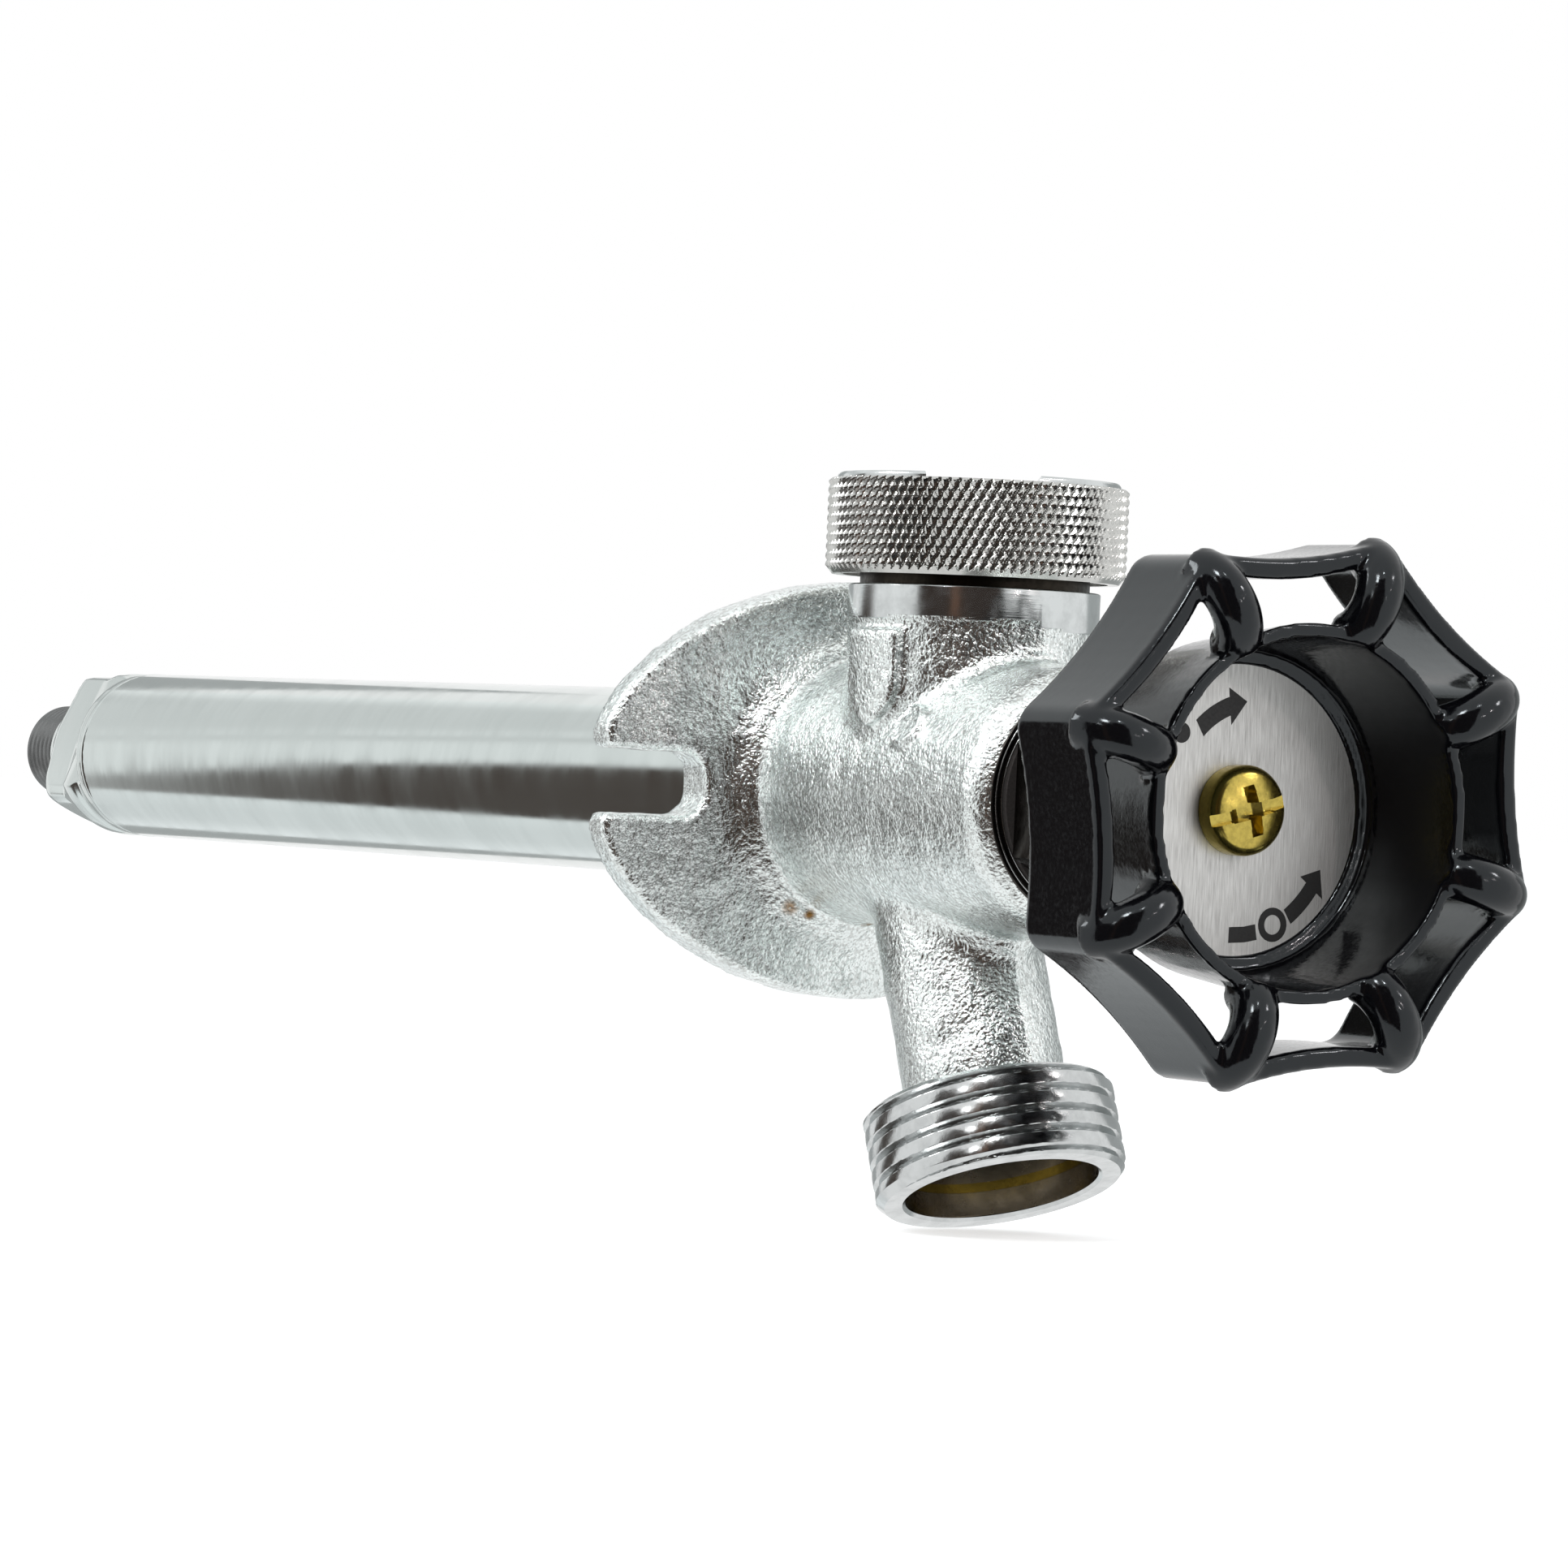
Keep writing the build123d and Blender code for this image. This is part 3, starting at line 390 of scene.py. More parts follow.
def keep_faces(piece, wanted):
    """Deletes the faces whose centres the function doesn't want."""
    bm = bmesh.new()
    bm.from_mesh(piece.data)
    doomed = [face for face in bm.faces if not wanted(face.calc_center_median() / MM)]
    bmesh.ops.delete(bm, geom=doomed, context="FACES")
    bm.to_mesh(piece.data)
    bm.free()


# Materials
def new_material(name, colour, metallic, roughness):
    material = bpy.data.materials.new(name)
    material.use_nodes = True
    shader = material.node_tree.nodes["Principled BSDF"]
    shader.inputs["Base Color"].default_value = (*colour, 1)
    shader.inputs["Metallic"].default_value = metallic
    shader.inputs["Roughness"].default_value = roughness
    return material, material.node_tree.nodes, material.node_tree.links, shader


def place_coordinates(tree_nodes, links, scale, stretch=(1, 1, 1)):
    """Object coordinates, scaled so that one unit is the given number of millimetres."""
    where = tree_nodes.new("ShaderNodeTexCoord")
    mapping = tree_nodes.new("ShaderNodeMapping")
    mapping.inputs["Scale"].default_value = [s / (scale * MM) for s in stretch]
    links.new(where.outputs["Object"], mapping.inputs["Vector"])
    return mapping.outputs["Vector"]


def noise_texture(tree_nodes, links, vector, detail=3.0, roughness=0.5):
    texture = tree_nodes.new("ShaderNodeTexNoise")
    texture.inputs["Scale"].default_value = 1.0
    texture.inputs["Detail"].default_value = detail
    texture.inputs["Roughness"].default_value = roughness
    links.new(vector, texture.inputs["Vector"])
    return texture.outputs["Fac"]


def vary(n, links, shader, value, span, colour, share, roughness, swing):
    """Lets a noise value mix in a darker shade of the colour and move the roughness."""
    darker = tuple(c * share for c in colour)
    factor = remap(n, links, value, *span, 0, 1)
    links.new(colour_mix(n, links, factor, colour, darker), shader.inputs["Base Color"])
    rough = remap(n, links, value, 0.3, 0.7, roughness * swing[0], roughness * swing[1])
    links.new(rough, shader.inputs["Roughness"])


def cell_texture(tree_nodes, links, vector):
    """Distance to the middle of the nearest of many small cells, from 0 to about 0.8."""
    texture = tree_nodes.new("ShaderNodeTexVoronoi")
    texture.feature = "F1"
    texture.inputs["Scale"].default_value = 1.0
    links.new(vector, texture.inputs["Vector"])
    return texture.outputs["Distance"]


def remap(tree_nodes, links, value, low, high, to_low, to_high):
    node = tree_nodes.new("ShaderNodeMapRange")
    node.inputs["From Min"].default_value = low
    node.inputs["From Max"].default_value = high
    node.inputs["To Min"].default_value = to_low
    node.inputs["To Max"].default_value = to_high
    links.new(value, node.inputs["Value"])
    return node.outputs["Result"]


def colour_mix(tree_nodes, links, factor, first, second):
    node = tree_nodes.new("ShaderNodeMix")
    node.data_type = "RGBA"
    node.inputs["A"].default_value = (*first, 1)
    node.inputs["B"].default_value = (*second, 1)
    links.new(factor, node.inputs["Factor"])
    return node.outputs["Result"]


def mix_over(tree_nodes, links, factor, under, over):
    """Lays one plain colour over a coloured surface by a factor."""
    node = tree_nodes.new("ShaderNodeMix")
    node.data_type = "RGBA"
    node.inputs["B"].default_value = (*over, 1)
    links.new(under, node.inputs["A"])
    links.new(factor, node.inputs["Factor"])
    return node.outputs["Result"]


def math_node(tree_nodes, links, operation, first, second=None):
    node = tree_nodes.new("ShaderNodeMath")
    node.operation = operation
    links.new(first, node.inputs[0])
    if second is not None:
        links.new(second, node.inputs[1])
    return node.outputs[0]


def bump(tree_nodes, links, height, distance, strength, under=None):
    node = tree_nodes.new("ShaderNodeBump")
    node.inputs["Distance"].default_value = distance * MM
    node.inputs["Strength"].default_value = strength
    links.new(height, node.inputs["Height"])
    if under is not None:
        links.new(under, node.inputs["Normal"])
    return node.outputs["Normal"]


def grain_strength(n, links):
    """The grain is coarse on the boss and the spout, and finer on the barrel and the flange."""
    parts = n.new("ShaderNodeSeparateXYZ")
    links.new(n.new("ShaderNodeTexCoord").outputs["Object"], parts.inputs[0])
    height = math_node(n, links, "ABSOLUTE", parts.outputs["Z"])
    by_height = remap(n, links, height, 12.5 * MM, 17 * MM, 0.34, 0.66)
    by_depth = remap(n, links, parts.outputs["Y"], -14 * MM, -9 * MM, 1, 0.5)
    return math_node(n, links, "MULTIPLY", by_height, by_depth)


def cast_plate():
    """Bright plate over rough sand-cast metal: lumps, grain, painted shade in the pits and a few
    rusty stains.
    """
    material, n, links, shader = new_material("plated_casting", (0.70, 0.72, 0.715), 1.0, 0.3)
    coarse = noise_texture(n, links, place_coordinates(n, links, 0.95), 2.0, 0.55)
    fine = noise_texture(n, links, place_coordinates(n, links, 0.33), 2.0, 0.6)
    patch = noise_texture(n, links, place_coordinates(n, links, 5.0), 2.0, 0.5)
    cells = cell_texture(n, links, place_coordinates(n, links, 0.46))
    grain = remap(n, links, cells, 0.05, 0.7, 1, 0)
    normal = bump(n, links, coarse, 0.30, 0.6)
    normal = bump(n, links, fine, 0.15, 0.75, normal)
    normal = bump(n, links, grain, 0.085, 0.3, normal)
    links.new(grain_strength(n, links), normal.node.inputs["Strength"])
    links.new(normal, shader.inputs["Normal"])
    links.new(remap(n, links, fine, 0.3, 0.7, 0.12, 0.26), shader.inputs["Roughness"])
    duller = remap(n, links, patch, 0.35, 0.65, 0, 1)
    colour = colour_mix(n, links, duller, (0.90, 0.95, 0.94), (0.79, 0.84, 0.83))
    # Painted shade: the low places of the fine noise, the cell grain and the coarse noise are
    # darkened as if shade lay in the pits.
    for height, edge, floor_level, share, dark in (
        (fine, 0.42, 0.31, 0.5, (0.24, 0.24, 0.225)),
        (grain, 0.26, 0.05, 0.3, (0.30, 0.30, 0.28)),
        (coarse, 0.40, 0.28, 0.4, (0.28, 0.28, 0.26)),
    ):
        pit_shade = remap(n, links, height, edge, floor_level, 0, share)
        colour = mix_over(n, links, pit_shade, colour, dark)
    where = n.new("ShaderNodeTexCoord").outputs["Object"]
    ragged = remap(n, links, coarse, 0.34, 0.46, 0, 1)
    for centre, size in stains:
        away = n.new("ShaderNodeVectorMath")
        away.operation = "DISTANCE"
        away.inputs[1].default_value = [c * MM for c in centre]
        links.new(where, away.inputs[0])
        near = remap(n, links, away.outputs["Value"], size * MM, size * 0.5 * MM, 0, 1)
        stain = math_node(n, links, "MULTIPLY", near, ragged)
        colour = mix_over(n, links, stain, colour, (0.26, 0.14, 0.04))
    links.new(colour, shader.inputs["Base Color"])
    return material


def turned_plate(name, colour, roughness, line_size, line_strength, stretch):
    """Machined and plated metal with fine tool lines round its axis."""
    material, n, links, shader = new_material(name, colour, 1.0, roughness)
    lines = noise_texture(n, links, place_coordinates(n, links, line_size, stretch), 2.0, 0.5)
    spots = noise_texture(n, links, place_coordinates(n, links, 2.4), 3.0, 0.6)
    links.new(bump(n, links, lines, 0.02, line_strength), shader.inputs["Normal"])
    vary(n, links, shader, spots, (0.4, 0.62), colour, 0.86, roughness, (0.7, 1.5))
    return material


def drawn_tube():
    """Plated tube with slight waves from drawing and faint smudges."""
    material, n, links, shader = new_material("plated_tube", (0.67, 0.71, 0.69), 1.0, 0.14)
    waves = noise_texture(n, links, place_coordinates(n, links, 3.2, (0.5, 1, 0.5)), 2.0, 0.5)
    smudge = noise_texture(n, links, place_coordinates(n, links, 5.0, (0.4, 1, 0.4)), 3.0, 0.6)
    links.new(bump(n, links, waves, 0.02, 0.25), shader.inputs["Normal"])
    links.new(remap(n, links, smudge, 0.3, 0.7, 0.07, 0.15), shader.inputs["Roughness"])
    factor = remap(n, links, smudge, 0.35, 0.65, 0, 1)
    tone = colour_mix(n, links, factor, (0.70, 0.74, 0.725), (0.655, 0.695, 0.68))
    links.new(tone, shader.inputs["Base Color"])
    return material


def gloss_black():
    material, n, links, shader = new_material("black_handle", (0.003, 0.003, 0.004), 0.0, 0.12)
    shader.inputs["Specular IOR Level"].default_value = 0.46
    shader.inputs["Specular Tint"].default_value = (0.88, 0.96, 1.0, 1)
    wave = noise_texture(n, links, place_coordinates(n, links, 2.6), 2.0, 0.5)
    dust = noise_texture(n, links, place_coordinates(n, links, 0.42), 3.0, 0.6)
    normal = bump(n, links, wave, 0.06, 0.25)
    links.new(bump(n, links, dust, 0.02, 0.35, normal), shader.inputs["Normal"])
    links.new(remap(n, links, dust, 0.35, 0.7, 0.06, 0.20), shader.inputs["Roughness"])
    return material


def brushed(name, colour, roughness):
    """A disc brushed straight across."""
    material, n, links, shader = new_material(name, colour, 1.0, roughness)
    lines = noise_texture(n, links, place_coordinates(n, links, 0.16, (1, 1, 0.05)), 3.0, 0.6)
    links.new(bump(n, links, lines, 0.02, 0.6), shader.inputs["Normal"])
    vary(n, links, shader, lines, (0.35, 0.65), colour, 0.84, roughness, (0.8, 1.3))
    return material


def plain(name, colour, metallic, roughness, grain, depth):
    """One even surface with fine spots."""
    material, n, links, shader = new_material(name, colour, metallic, roughness)
    spots = noise_texture(n, links, place_coordinates(n, links, grain), 3.0, 0.6)
    links.new(bump(n, links, spots, depth, 0.4), shader.inputs["Normal"])
    vary(n, links, shader, spots, (0.35, 0.65), colour, 0.8, roughness, (0.8, 1.25))
    return material


materials = {
    "cast": cast_plate(),
    "thread": turned_plate("plated_thread", (0.62, 0.64, 0.64), 0.15, 0.5, 0.55, (1, 1, 1)),
    "bore": turned_plate("plated_bore", (0.48, 0.445, 0.39), 0.2, 0.8, 0.3, (1, 1, 1)),
    "collar": turned_plate("plated_collar", (0.66, 0.69, 0.69), 0.16, 0.16, 0.7, (0.05, 0.05, 1)),
    "knurl": turned_plate("knurled_cap", (0.60, 0.605, 0.585), 0.15, 0.30, 0.2, (1, 1, 1)),
    "tube": drawn_tube(),
    "stub": turned_plate("plated_stub", (0.17, 0.175, 0.175), 0.26, 0.5, 0.4, (1, 1, 1)),
    # Painted shade: the dark finish is near-black plate for the barrel's front face, the bonnet
    # and the packing nut behind the hand wheel, in place of the wheel's shadow and dark
    # reflection.
    "dark": turned_plate("painted_shade_face", (0.07, 0.065, 0.06), 0.22, 0.5, 0.4, (1, 1, 1)),
    "black": gloss_black(),
    "plate": brushed("brushed_plate", (0.66, 0.665, 0.65), 0.42),
    "brass": plain("brass", (0.56, 0.44, 0.10), 1.0, 0.22, 0.5, 0.03),
    # Painted shade: near-black brass for the vacuum breaker's bonnet, standing in for the shade in
    # the vent gap between the cap and the collar.
    "vent_shade": plain("painted_shade_brass", (0.035, 0.03, 0.024), 1.0, 0.35, 0.5, 0.03),
    "braze": plain("braze", (0.60, 0.50, 0.28), 1.0, 0.35, 0.4, 0.05),
    "steel": plain("steel_pin", (0.55, 0.55, 0.55), 1.0, 0.3, 0.4, 0.02),
    "rubber": plain("rubber", (0.02, 0.02, 0.02), 0.0, 0.6, 0.3, 0.03),
    "fibre": plain("fibre_gasket", (0.035, 0.03, 0.028), 0.0, 0.7, 0.3, 0.05),
    "packing": plain("packing", (0.05, 0.05, 0.05), 0.0, 0.6, 0.3, 0.05),
    "plastic": plain("white_plastic", (0.75, 0.75, 0.72), 0.0, 0.45, 0.8, 0.02),
    "ink": plain("printed_marks", (0.01, 0.01, 0.01), 0.0, 0.45, 0.3, 0.01),
}


def give(piece, key):
    piece.data.materials.clear()
    piece.data.materials.append(materials[key])


# Painted shade: the bonnet and the packing nut behind the hand wheel take the near-black dark
# finish.
for node, key in {
    "outer_tube": "tube", "tube_braze_ring": "braze", "inlet_fitting": "tube", "bonnet": "dark",
    "bonnet_gasket": "fibre", "stem_packing": "packing", "packing_gland": "brass",
    "packing_nut": "dark", "valve_stem": "brass", "stem_rod": "brass", "rod_pin": "steel",
    "washer_holder": "brass", "swivel_pin": "steel", "seat_washer": "rubber",
    "washer_screw": "brass", "handle_plate": "plate", "handle_screw": "brass",
    # Painted shade: the vacuum breaker's bonnet in the cap's vent gap takes the near-black brass.
    "vacuum_breaker_bonnet": "vent_shade", "bonnet_o_ring": "rubber",
    "vacuum_breaker_guide": "plastic", "vacuum_breaker_poppet": "plastic",
    "poppet_seal": "rubber",
}.items():
    give(nodes[node], key)


def collar_low(x, y):
    """Height of the collar's lower edge, which steps down to the right of the mould line."""
    step = min(max((x + 0.6) / 0.3, 0.0), 1.0) if y < boss_centre_y else 0.0
    return boss_top - 0.15 - 0.75 * step


# Body casting: a rough skin, with the machined collar, barrel front and outlet as turned pieces
def along_spout_of(point):
    origin, along, across, third = spout_frame()
    away = Vector(point) - origin
    t = away.dot(along)
    return t, (away - along * t).length


def rounder_slots(co):
    """Draws the inner corners of both slots in to a larger radius."""
    big, small = slot_corner_seen, slot_corner
    x = slot_inner + big - np.abs(co[:, 0])
    z = np.abs(co[:, 2]) - (slot_half - big)
    away = np.hypot(x, z)
    corner = (x > 0) & (z > 0)
    phi = np.clip(np.arctan2(z, x), 0.01, pi / 2 - 0.01)
    lean = (big - small) * (np.cos(phi) + np.sin(phi))
    round_part = lean + np.sqrt(np.maximum(lean ** 2 - 2 * (big - small) ** 2 + small ** 2, 0))
    side_part = np.where(phi > 3 * pi / 8, big / np.sin(phi), round_part)
    wall = np.where(phi < pi / 8, big / np.cos(phi), side_part)
    pull = np.clip(wall - big, 0, None) * np.clip(1 - (away - wall) / 1.6, 0, 1) * corner
    shrink = 1 - np.minimum(pull, away * 0.5) / np.maximum(away, 0.01)
    co = co.copy()
    co[:, 0] = np.where(corner, np.sign(co[:, 0]) * (slot_inner + big - x * shrink), co[:, 0])
    co[:, 2] = np.where(corner, np.sign(co[:, 2]) * (slot_half - big + z * shrink), co[:, 2])
    return co


def casting_lumps(co, radius):
    """Lumps of the sand mould, the round pad with its low rim, and the line round the root."""
    lumps = sum(height * noise(co, width, seed) for height, width, seed in cast_lumps)
    height, width, seed = spout_lumps
    below = np.clip((spout_lumps_top - co[:, 2]) / 3.0, 0, 1)
    lumps = lumps + below * (height * noise(co, width, seed))
    away = np.linalg.norm(co - np.array(pad_centre), axis=1)
    disc = np.clip((pad_radius + 0.25 - away) / 0.5, 0, 1) * pad_rise
    disc = disc + pad_rim * np.exp(-((away - pad_radius + 0.3) / 0.28) ** 2)
    root = np.exp(-((radius - root_radius) / 0.5) ** 2) * (co[:, 1] < -4) * (co[:, 1] > -11)
    return lumps + disc - root_depth * root


def mould_ridge(co, no, radius):
    """The mould's halves meet at X = 0 with a low ridge down the boss and the spout."""
    front = np.clip(-no[:, 1] * 1.6, 0, 1) * np.clip((radius - 14.9) * 2, 0, 1) * (co[:, 1] < -12)
    return np.clip(1 - np.abs(co[:, 0]) / ridge_half_width, 0, 1) ** 2 * ridge_height * front


def outside_machined(centre):
    """Whether a place on the casting is left rough, because no machined piece takes it over."""
    t, r = along_spout_of(centre)
    thread_start = spout_length - thread_length
    if t > thread_start - 0.5 and (r > neck_radius + 1.3 or t > thread_start + 0.3):
        return False
    if hypot(centre.x, centre.y - boss_centre_y) < boss_radius + 1.6:
        return centre.z < collar_low(centre.x, centre.y) + 0.3
    return True


def cast_skin():
    piece = remeshed("body_casting", "cast_body", cast_voxel)
    mesh = piece.data
    relax(mesh, cast_rounds)
    co = coordinates(mesh)
    no = normals(mesh)
    radius = np.hypot(co[:, 0], co[:, 2])
    lumps = casting_lumps(co, radius)
    inner = ((radius < 12.0) & (np.abs(no[:, 1]) < 0.5)) | (co[:, 1] < barrel_front_y + 0.6)
    back = no[:, 1] > 0.9
    lumps[inner | back] = 0
    co += no * (lumps + mould_ridge(co, no, radius))[:, None]
    co = rounder_slots(co)
    co[:, 0] = np.clip(co[:, 0], cad_bounds[0][0] / MM, cad_bounds[1][0] / MM)
    co[:, 1] = np.minimum(co[:, 1], 0)
    set_coordinates(mesh, co)
    keep_faces(piece, outside_machined)
    give(piece, "cast")
    return piece


def thread_radius_at(t, angle):
    """Radius of the hose thread a distance t along the spout, for a right-hand helix."""
    start = spout_length - thread_length
    phase = ((spout_length - t) / thread_pitch + angle / TURN) % 1.0
    half = thread_groove_share / 2
    away = min(abs(phase - 0.5), half) / half
    crown = thread_crown * (1 - (2 * min(phase, 1 - phase)) ** 2)
    r = thread_radius - thread_depth * (1 - away) - thread_crown + crown
    lead = thread_radius - max(0.0, t - (spout_length - thread_lead_in))
    top = thread_radius - max(0.0, start + thread_run_out - t) * 1.2
    return min(r, lead, top)


def outlet():
    start = spout_length - thread_length
    outer = [start + thread_length * i / thread_steps for i in range(thread_steps + 1)]

    def profile_at(angle):
        profile = [(start - 0.25, neck_radius - 0.3), (start - 0.1, neck_radius + 2.6)]
        profile += [(t, thread_radius_at(t, angle)) for t in outer]
        profile += [(spout_length, mouth_bore + mouth_lip), (spout_length - mouth_lip, mouth_bore)]
        return profile

    skin = swept("hose_thread", spout_frame(), profile_at, thread_segments, closed=False)
    piece = sharpen(skin, 40)
    give(piece, "thread")
    return piece


def mouth_bore_piece():
    """Turned inside of the mouth: fine rings, a ledge and the neck bore."""
    ledge = spout_length - mouth_depth
    profile = []
    rings = 28
    for k in range(rings + 1):
        t = spout_length - mouth_lip - (mouth_depth - mouth_lip) * k / rings
        profile.append((t, mouth_bore + (0.06 if k % 2 else 0.0)))
    profile.append((ledge - 0.3, mouth_bore - 0.2))
    profile += [(ledge - 1.2, neck_bore), (ledge - 12.0, neck_bore)]
    piece = sharpen(turned("outlet_bore", profile, spout_frame(), closed=False), 50)
    give(piece, "bore")
    return piece


def mouth_ring():
    """Brass that shows where the plate ends inside the mouth."""
    ledge = spout_length - mouth_depth
    profile = [(ledge + 2.9, mouth_bore - 0.03), (ledge + 3.9, mouth_bore - 0.03)]
    piece = turned("outlet_brass_band", profile, spout_frame(), closed=False)
    give(piece, "brass")
    return piece


def collar():
    """Machined ring; its lower edge has one step at the mould line."""
    def profile_at(angle):
        low = collar_low(cos(angle) * collar_radius, boss_centre_y + sin(angle) * collar_radius)
        outer = [(low, collar_radius), (collar_top, collar_radius)]
        return rounded([(low, boss_bore), *outer, (collar_top, boss_bore)], collar_edge)

    piece = sharpen(swept("machined_collar", boss_frame(), profile_at, 288))
    give(piece, "collar")
    return piece


def barrel_face():
    face, back = barrel_front_y - barrel_face_rise, barrel_front_y + 0.9
    outer, inner = barrel_front_radius + barrel_face_rise, bonnet_bore + 0.1
    profile = rounded([(back, outer), (face, outer), (face, inner), (back, inner)], 0.25)
    piece = sharpen(turned("machined_barrel_face", profile, main_frame()))
    # Painted shade: the machined face takes the near-black dark finish for the hand wheel's shadow
    # and dark reflection on it.
    give(piece, "dark")
    return piece


def barrel_rings():
    """Fine tool rings left standing on the barrel's front."""
    verts, faces = [], []
    around, across = 128, 8
    for radius in barrel_ring_radii:
        base = len(verts)
        for i in range(around):
            angle = TURN * i / around
            for k in range(across):
                turn = TURN * k / across
                r = radius + 0.09 * cos(turn)
                y = barrel_front_y - barrel_face_rise - 0.07 * sin(turn)
                verts.append(Vector((r * cos(angle), y, r * sin(angle))) * MM)
        for i in range(around):
            a, b = base + i * across, base + (i + 1) % around * across
            for k in range(across):
                m = (k + 1) % across
                faces.append((a + k, b + k, b + m, a + m))
    piece = add_mesh("barrel_tool_rings", verts, faces)
    give(piece, "thread")
    return piece


# Knurled cap
def knurled_cap():
    low, high = cap_low, cap_high
    pitch = TURN * cap_radius / knurl_count
    rows = [low + (high - low) * k / cap_rows for k in range(cap_rows + 1)]

    def groove(arc):
        away = abs((arc / pitch) % 1.0 - 0.5) * 2
        return max(away - knurl_land_share, 0.0) / (1 - knurl_land_share)

    def surface(angle, z):
        arc, shift = angle * cap_radius, z * knurl_slant
        cut = max(knurl_cross_depth * groove(arc + shift), knurl_depth * groove(arc - shift))
        foot = max(0.0, cap_foot - (z - low)) * 0.8 + 0.12 * (z - low < cap_foot)
        edge = max(foot, (cap_brow - (high - z)) * 1.2)
        return cap_radius - max(cut, edge)

    def profile_at(angle):
        profile = [(low, cap_cavity)] + [(z, surface(angle, z)) for z in rows]
        return profile + [(high, cap_pad_radius + 0.1), (high, 0.001)]

    skin = swept("knurled_cap_skin", boss_frame(), profile_at, knurl_count * 10, closed=False)
    piece = sharpen(skin, 24)
    give(piece, "knurl")
    return piece


def cap_inside():
    ceiling = cap_high - cap_top_thickness
    profile = [(cap_low, cap_cavity), (ceiling, cap_cavity), (ceiling, 0.01)]
    piece = turned("cap_inside", profile, boss_frame(), closed=False)
    give(piece, "knurl")
    return piece


def cap_pads():
    """Two raised segments on the cap with a plain channel between them."""
    edge = cap_pad_gap / 2
    start = atan2(sqrt(cap_pad_radius ** 2 - edge ** 2), edge)
    turn = radians(cap_pad_angle)
    levels = [(0.0, 0.0), (0.0, 0.25), (0.1, 0.45), (0.3, cap_pad_rise)]
    verts, faces = [], []
    for side in (-1, 1):
        ring = []
        for k in range(49):
            a = start - 2 * start * k / 48
            ring.append((side * cap_pad_radius * cos(a), cap_pad_radius * sin(a)))
        base, size = len(verts), len(ring)
        centre = np.mean(np.array(ring), axis=0)
        for inset, rise in levels:
            for x, y in ring:
                away = Vector((x - centre[0], y - centre[1]))
                away = away.normalized() * inset
                px, py = x - away.x, y - away.y
                wx = px * cos(turn) - py * sin(turn)
                wy = px * sin(turn) + py * cos(turn)
                verts.append(Vector((wx, boss_centre_y + wy, cap_high + rise)) * MM)
        for level in range(len(levels) - 1):
            for k in range(size):
                m = (k + 1) % size
                a, b = base + level * size, base + (level + 1) * size
                faces.append((a + k, a + m, b + m, b + k))
        top = base + (len(levels) - 1) * size
        faces.append(tuple(top + k for k in range(size)))
    piece = sharpen(add_mesh("cap_pads", verts, faces), 30)
    give(piece, "collar")
    return piece


body_pieces = {
    "cast_body": (cast_skin(), "plated_casting"),
    "hose_thread": (outlet(), "plated_casting"),
    "bore": (mouth_bore_piece(), "plated_casting"),
    "mouth": (mouth_ring(), "brass"),
    "collar": (collar(), "plated_casting"),
    "barrel_face": (barrel_face(), "plated_casting"),
    "barrel_rings": (barrel_rings(), "plated_casting"),
    "cap": (knurled_cap(), "knurled_cap"),
    "cap_inside": (cap_inside(), "knurled_cap"),
    "cap_pads": (cap_pads(), "knurled_cap"),
}
for key, (piece, slot) in body_pieces.items():
    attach(piece, "body")
for key in ("cast_body", "hose_thread", "bore", "mouth", "collar", "barrel_face", "barrel_rings"):
    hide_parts("body_casting")
for key in ("cap", "cap_inside", "cap_pads"):
    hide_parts("vacuum_breaker_cap")


# Hand wheel
def wheel():
    piece = remeshed("handle", "hand_wheel", wheel_voxel)
    relax(piece.data, wheel_rounds)
    give(piece, "black")
    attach(piece, "hand_wheel")
    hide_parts("handle")


wheel()


# Inlet end: smooth body, a bead where the tube ends and a dark ringed stub
def inlet_body():
    body = remeshed("inlet_fitting", "inlet_body", inlet_voxel)
    relax(body.data, inlet_first_rounds)
    co = coordinates(body.data)
    past = smooth(np.clip((co[:, 1] - flat_start) / flat_run, 0, 1))
    for tilt, distance in inlet_flats:
        side = np.array([-cos(radians(tilt)), 0, sin(radians(tilt))])
        over = co @ side - (distance + 6.0 * (1 - past))
        eased = np.log1p(np.exp(np.clip(over, -20, 4) / flat_softness)) * flat_softness
        co = co - np.where(over > 4, over, eased)[:, None] * side
    radius = np.hypot(co[:, 0], co[:, 2])
    dip = 0.3 * np.exp(-((co[:, 1] - 175.6) / 1.0) ** 2)
    limit = tube_radius - dip - 0.5 * np.clip((co[:, 1] - 179.4) / 2.0, 0, 1)
    scale = np.minimum(1, limit / np.maximum(radius, 0.1))
    co[:, 0] *= scale
    co[:, 2] *= scale
    co[:, 1] = np.minimum(co[:, 1], stub_tip)
    set_coordinates(body.data, co)
    relax(body.data, inlet_last_rounds)
    co = coordinates(body.data)
    co[:, 1] = np.minimum(co[:, 1], stub_tip)
    set_coordinates(body.data, co)
    bore = stub_radius - 0.8
    keep_faces(body, lambda centre: centre.y < stub_start or hypot(centre.x, centre.z) < bore)
    give(body, "tube")
    return body


def tube_rim():
    """Low bead where the tube ends."""
    bead = []
    for k in range(17):
        turn = pi * k / 16
        bead.append((tube_end - 0.1 - cos(turn) * 0.8, tube_radius - 0.28 + sin(turn) * tube_bead))
    rim = turned("tube_end_bead", bead, main_frame(), closed=False)
    give(rim, "tube")
    return rim


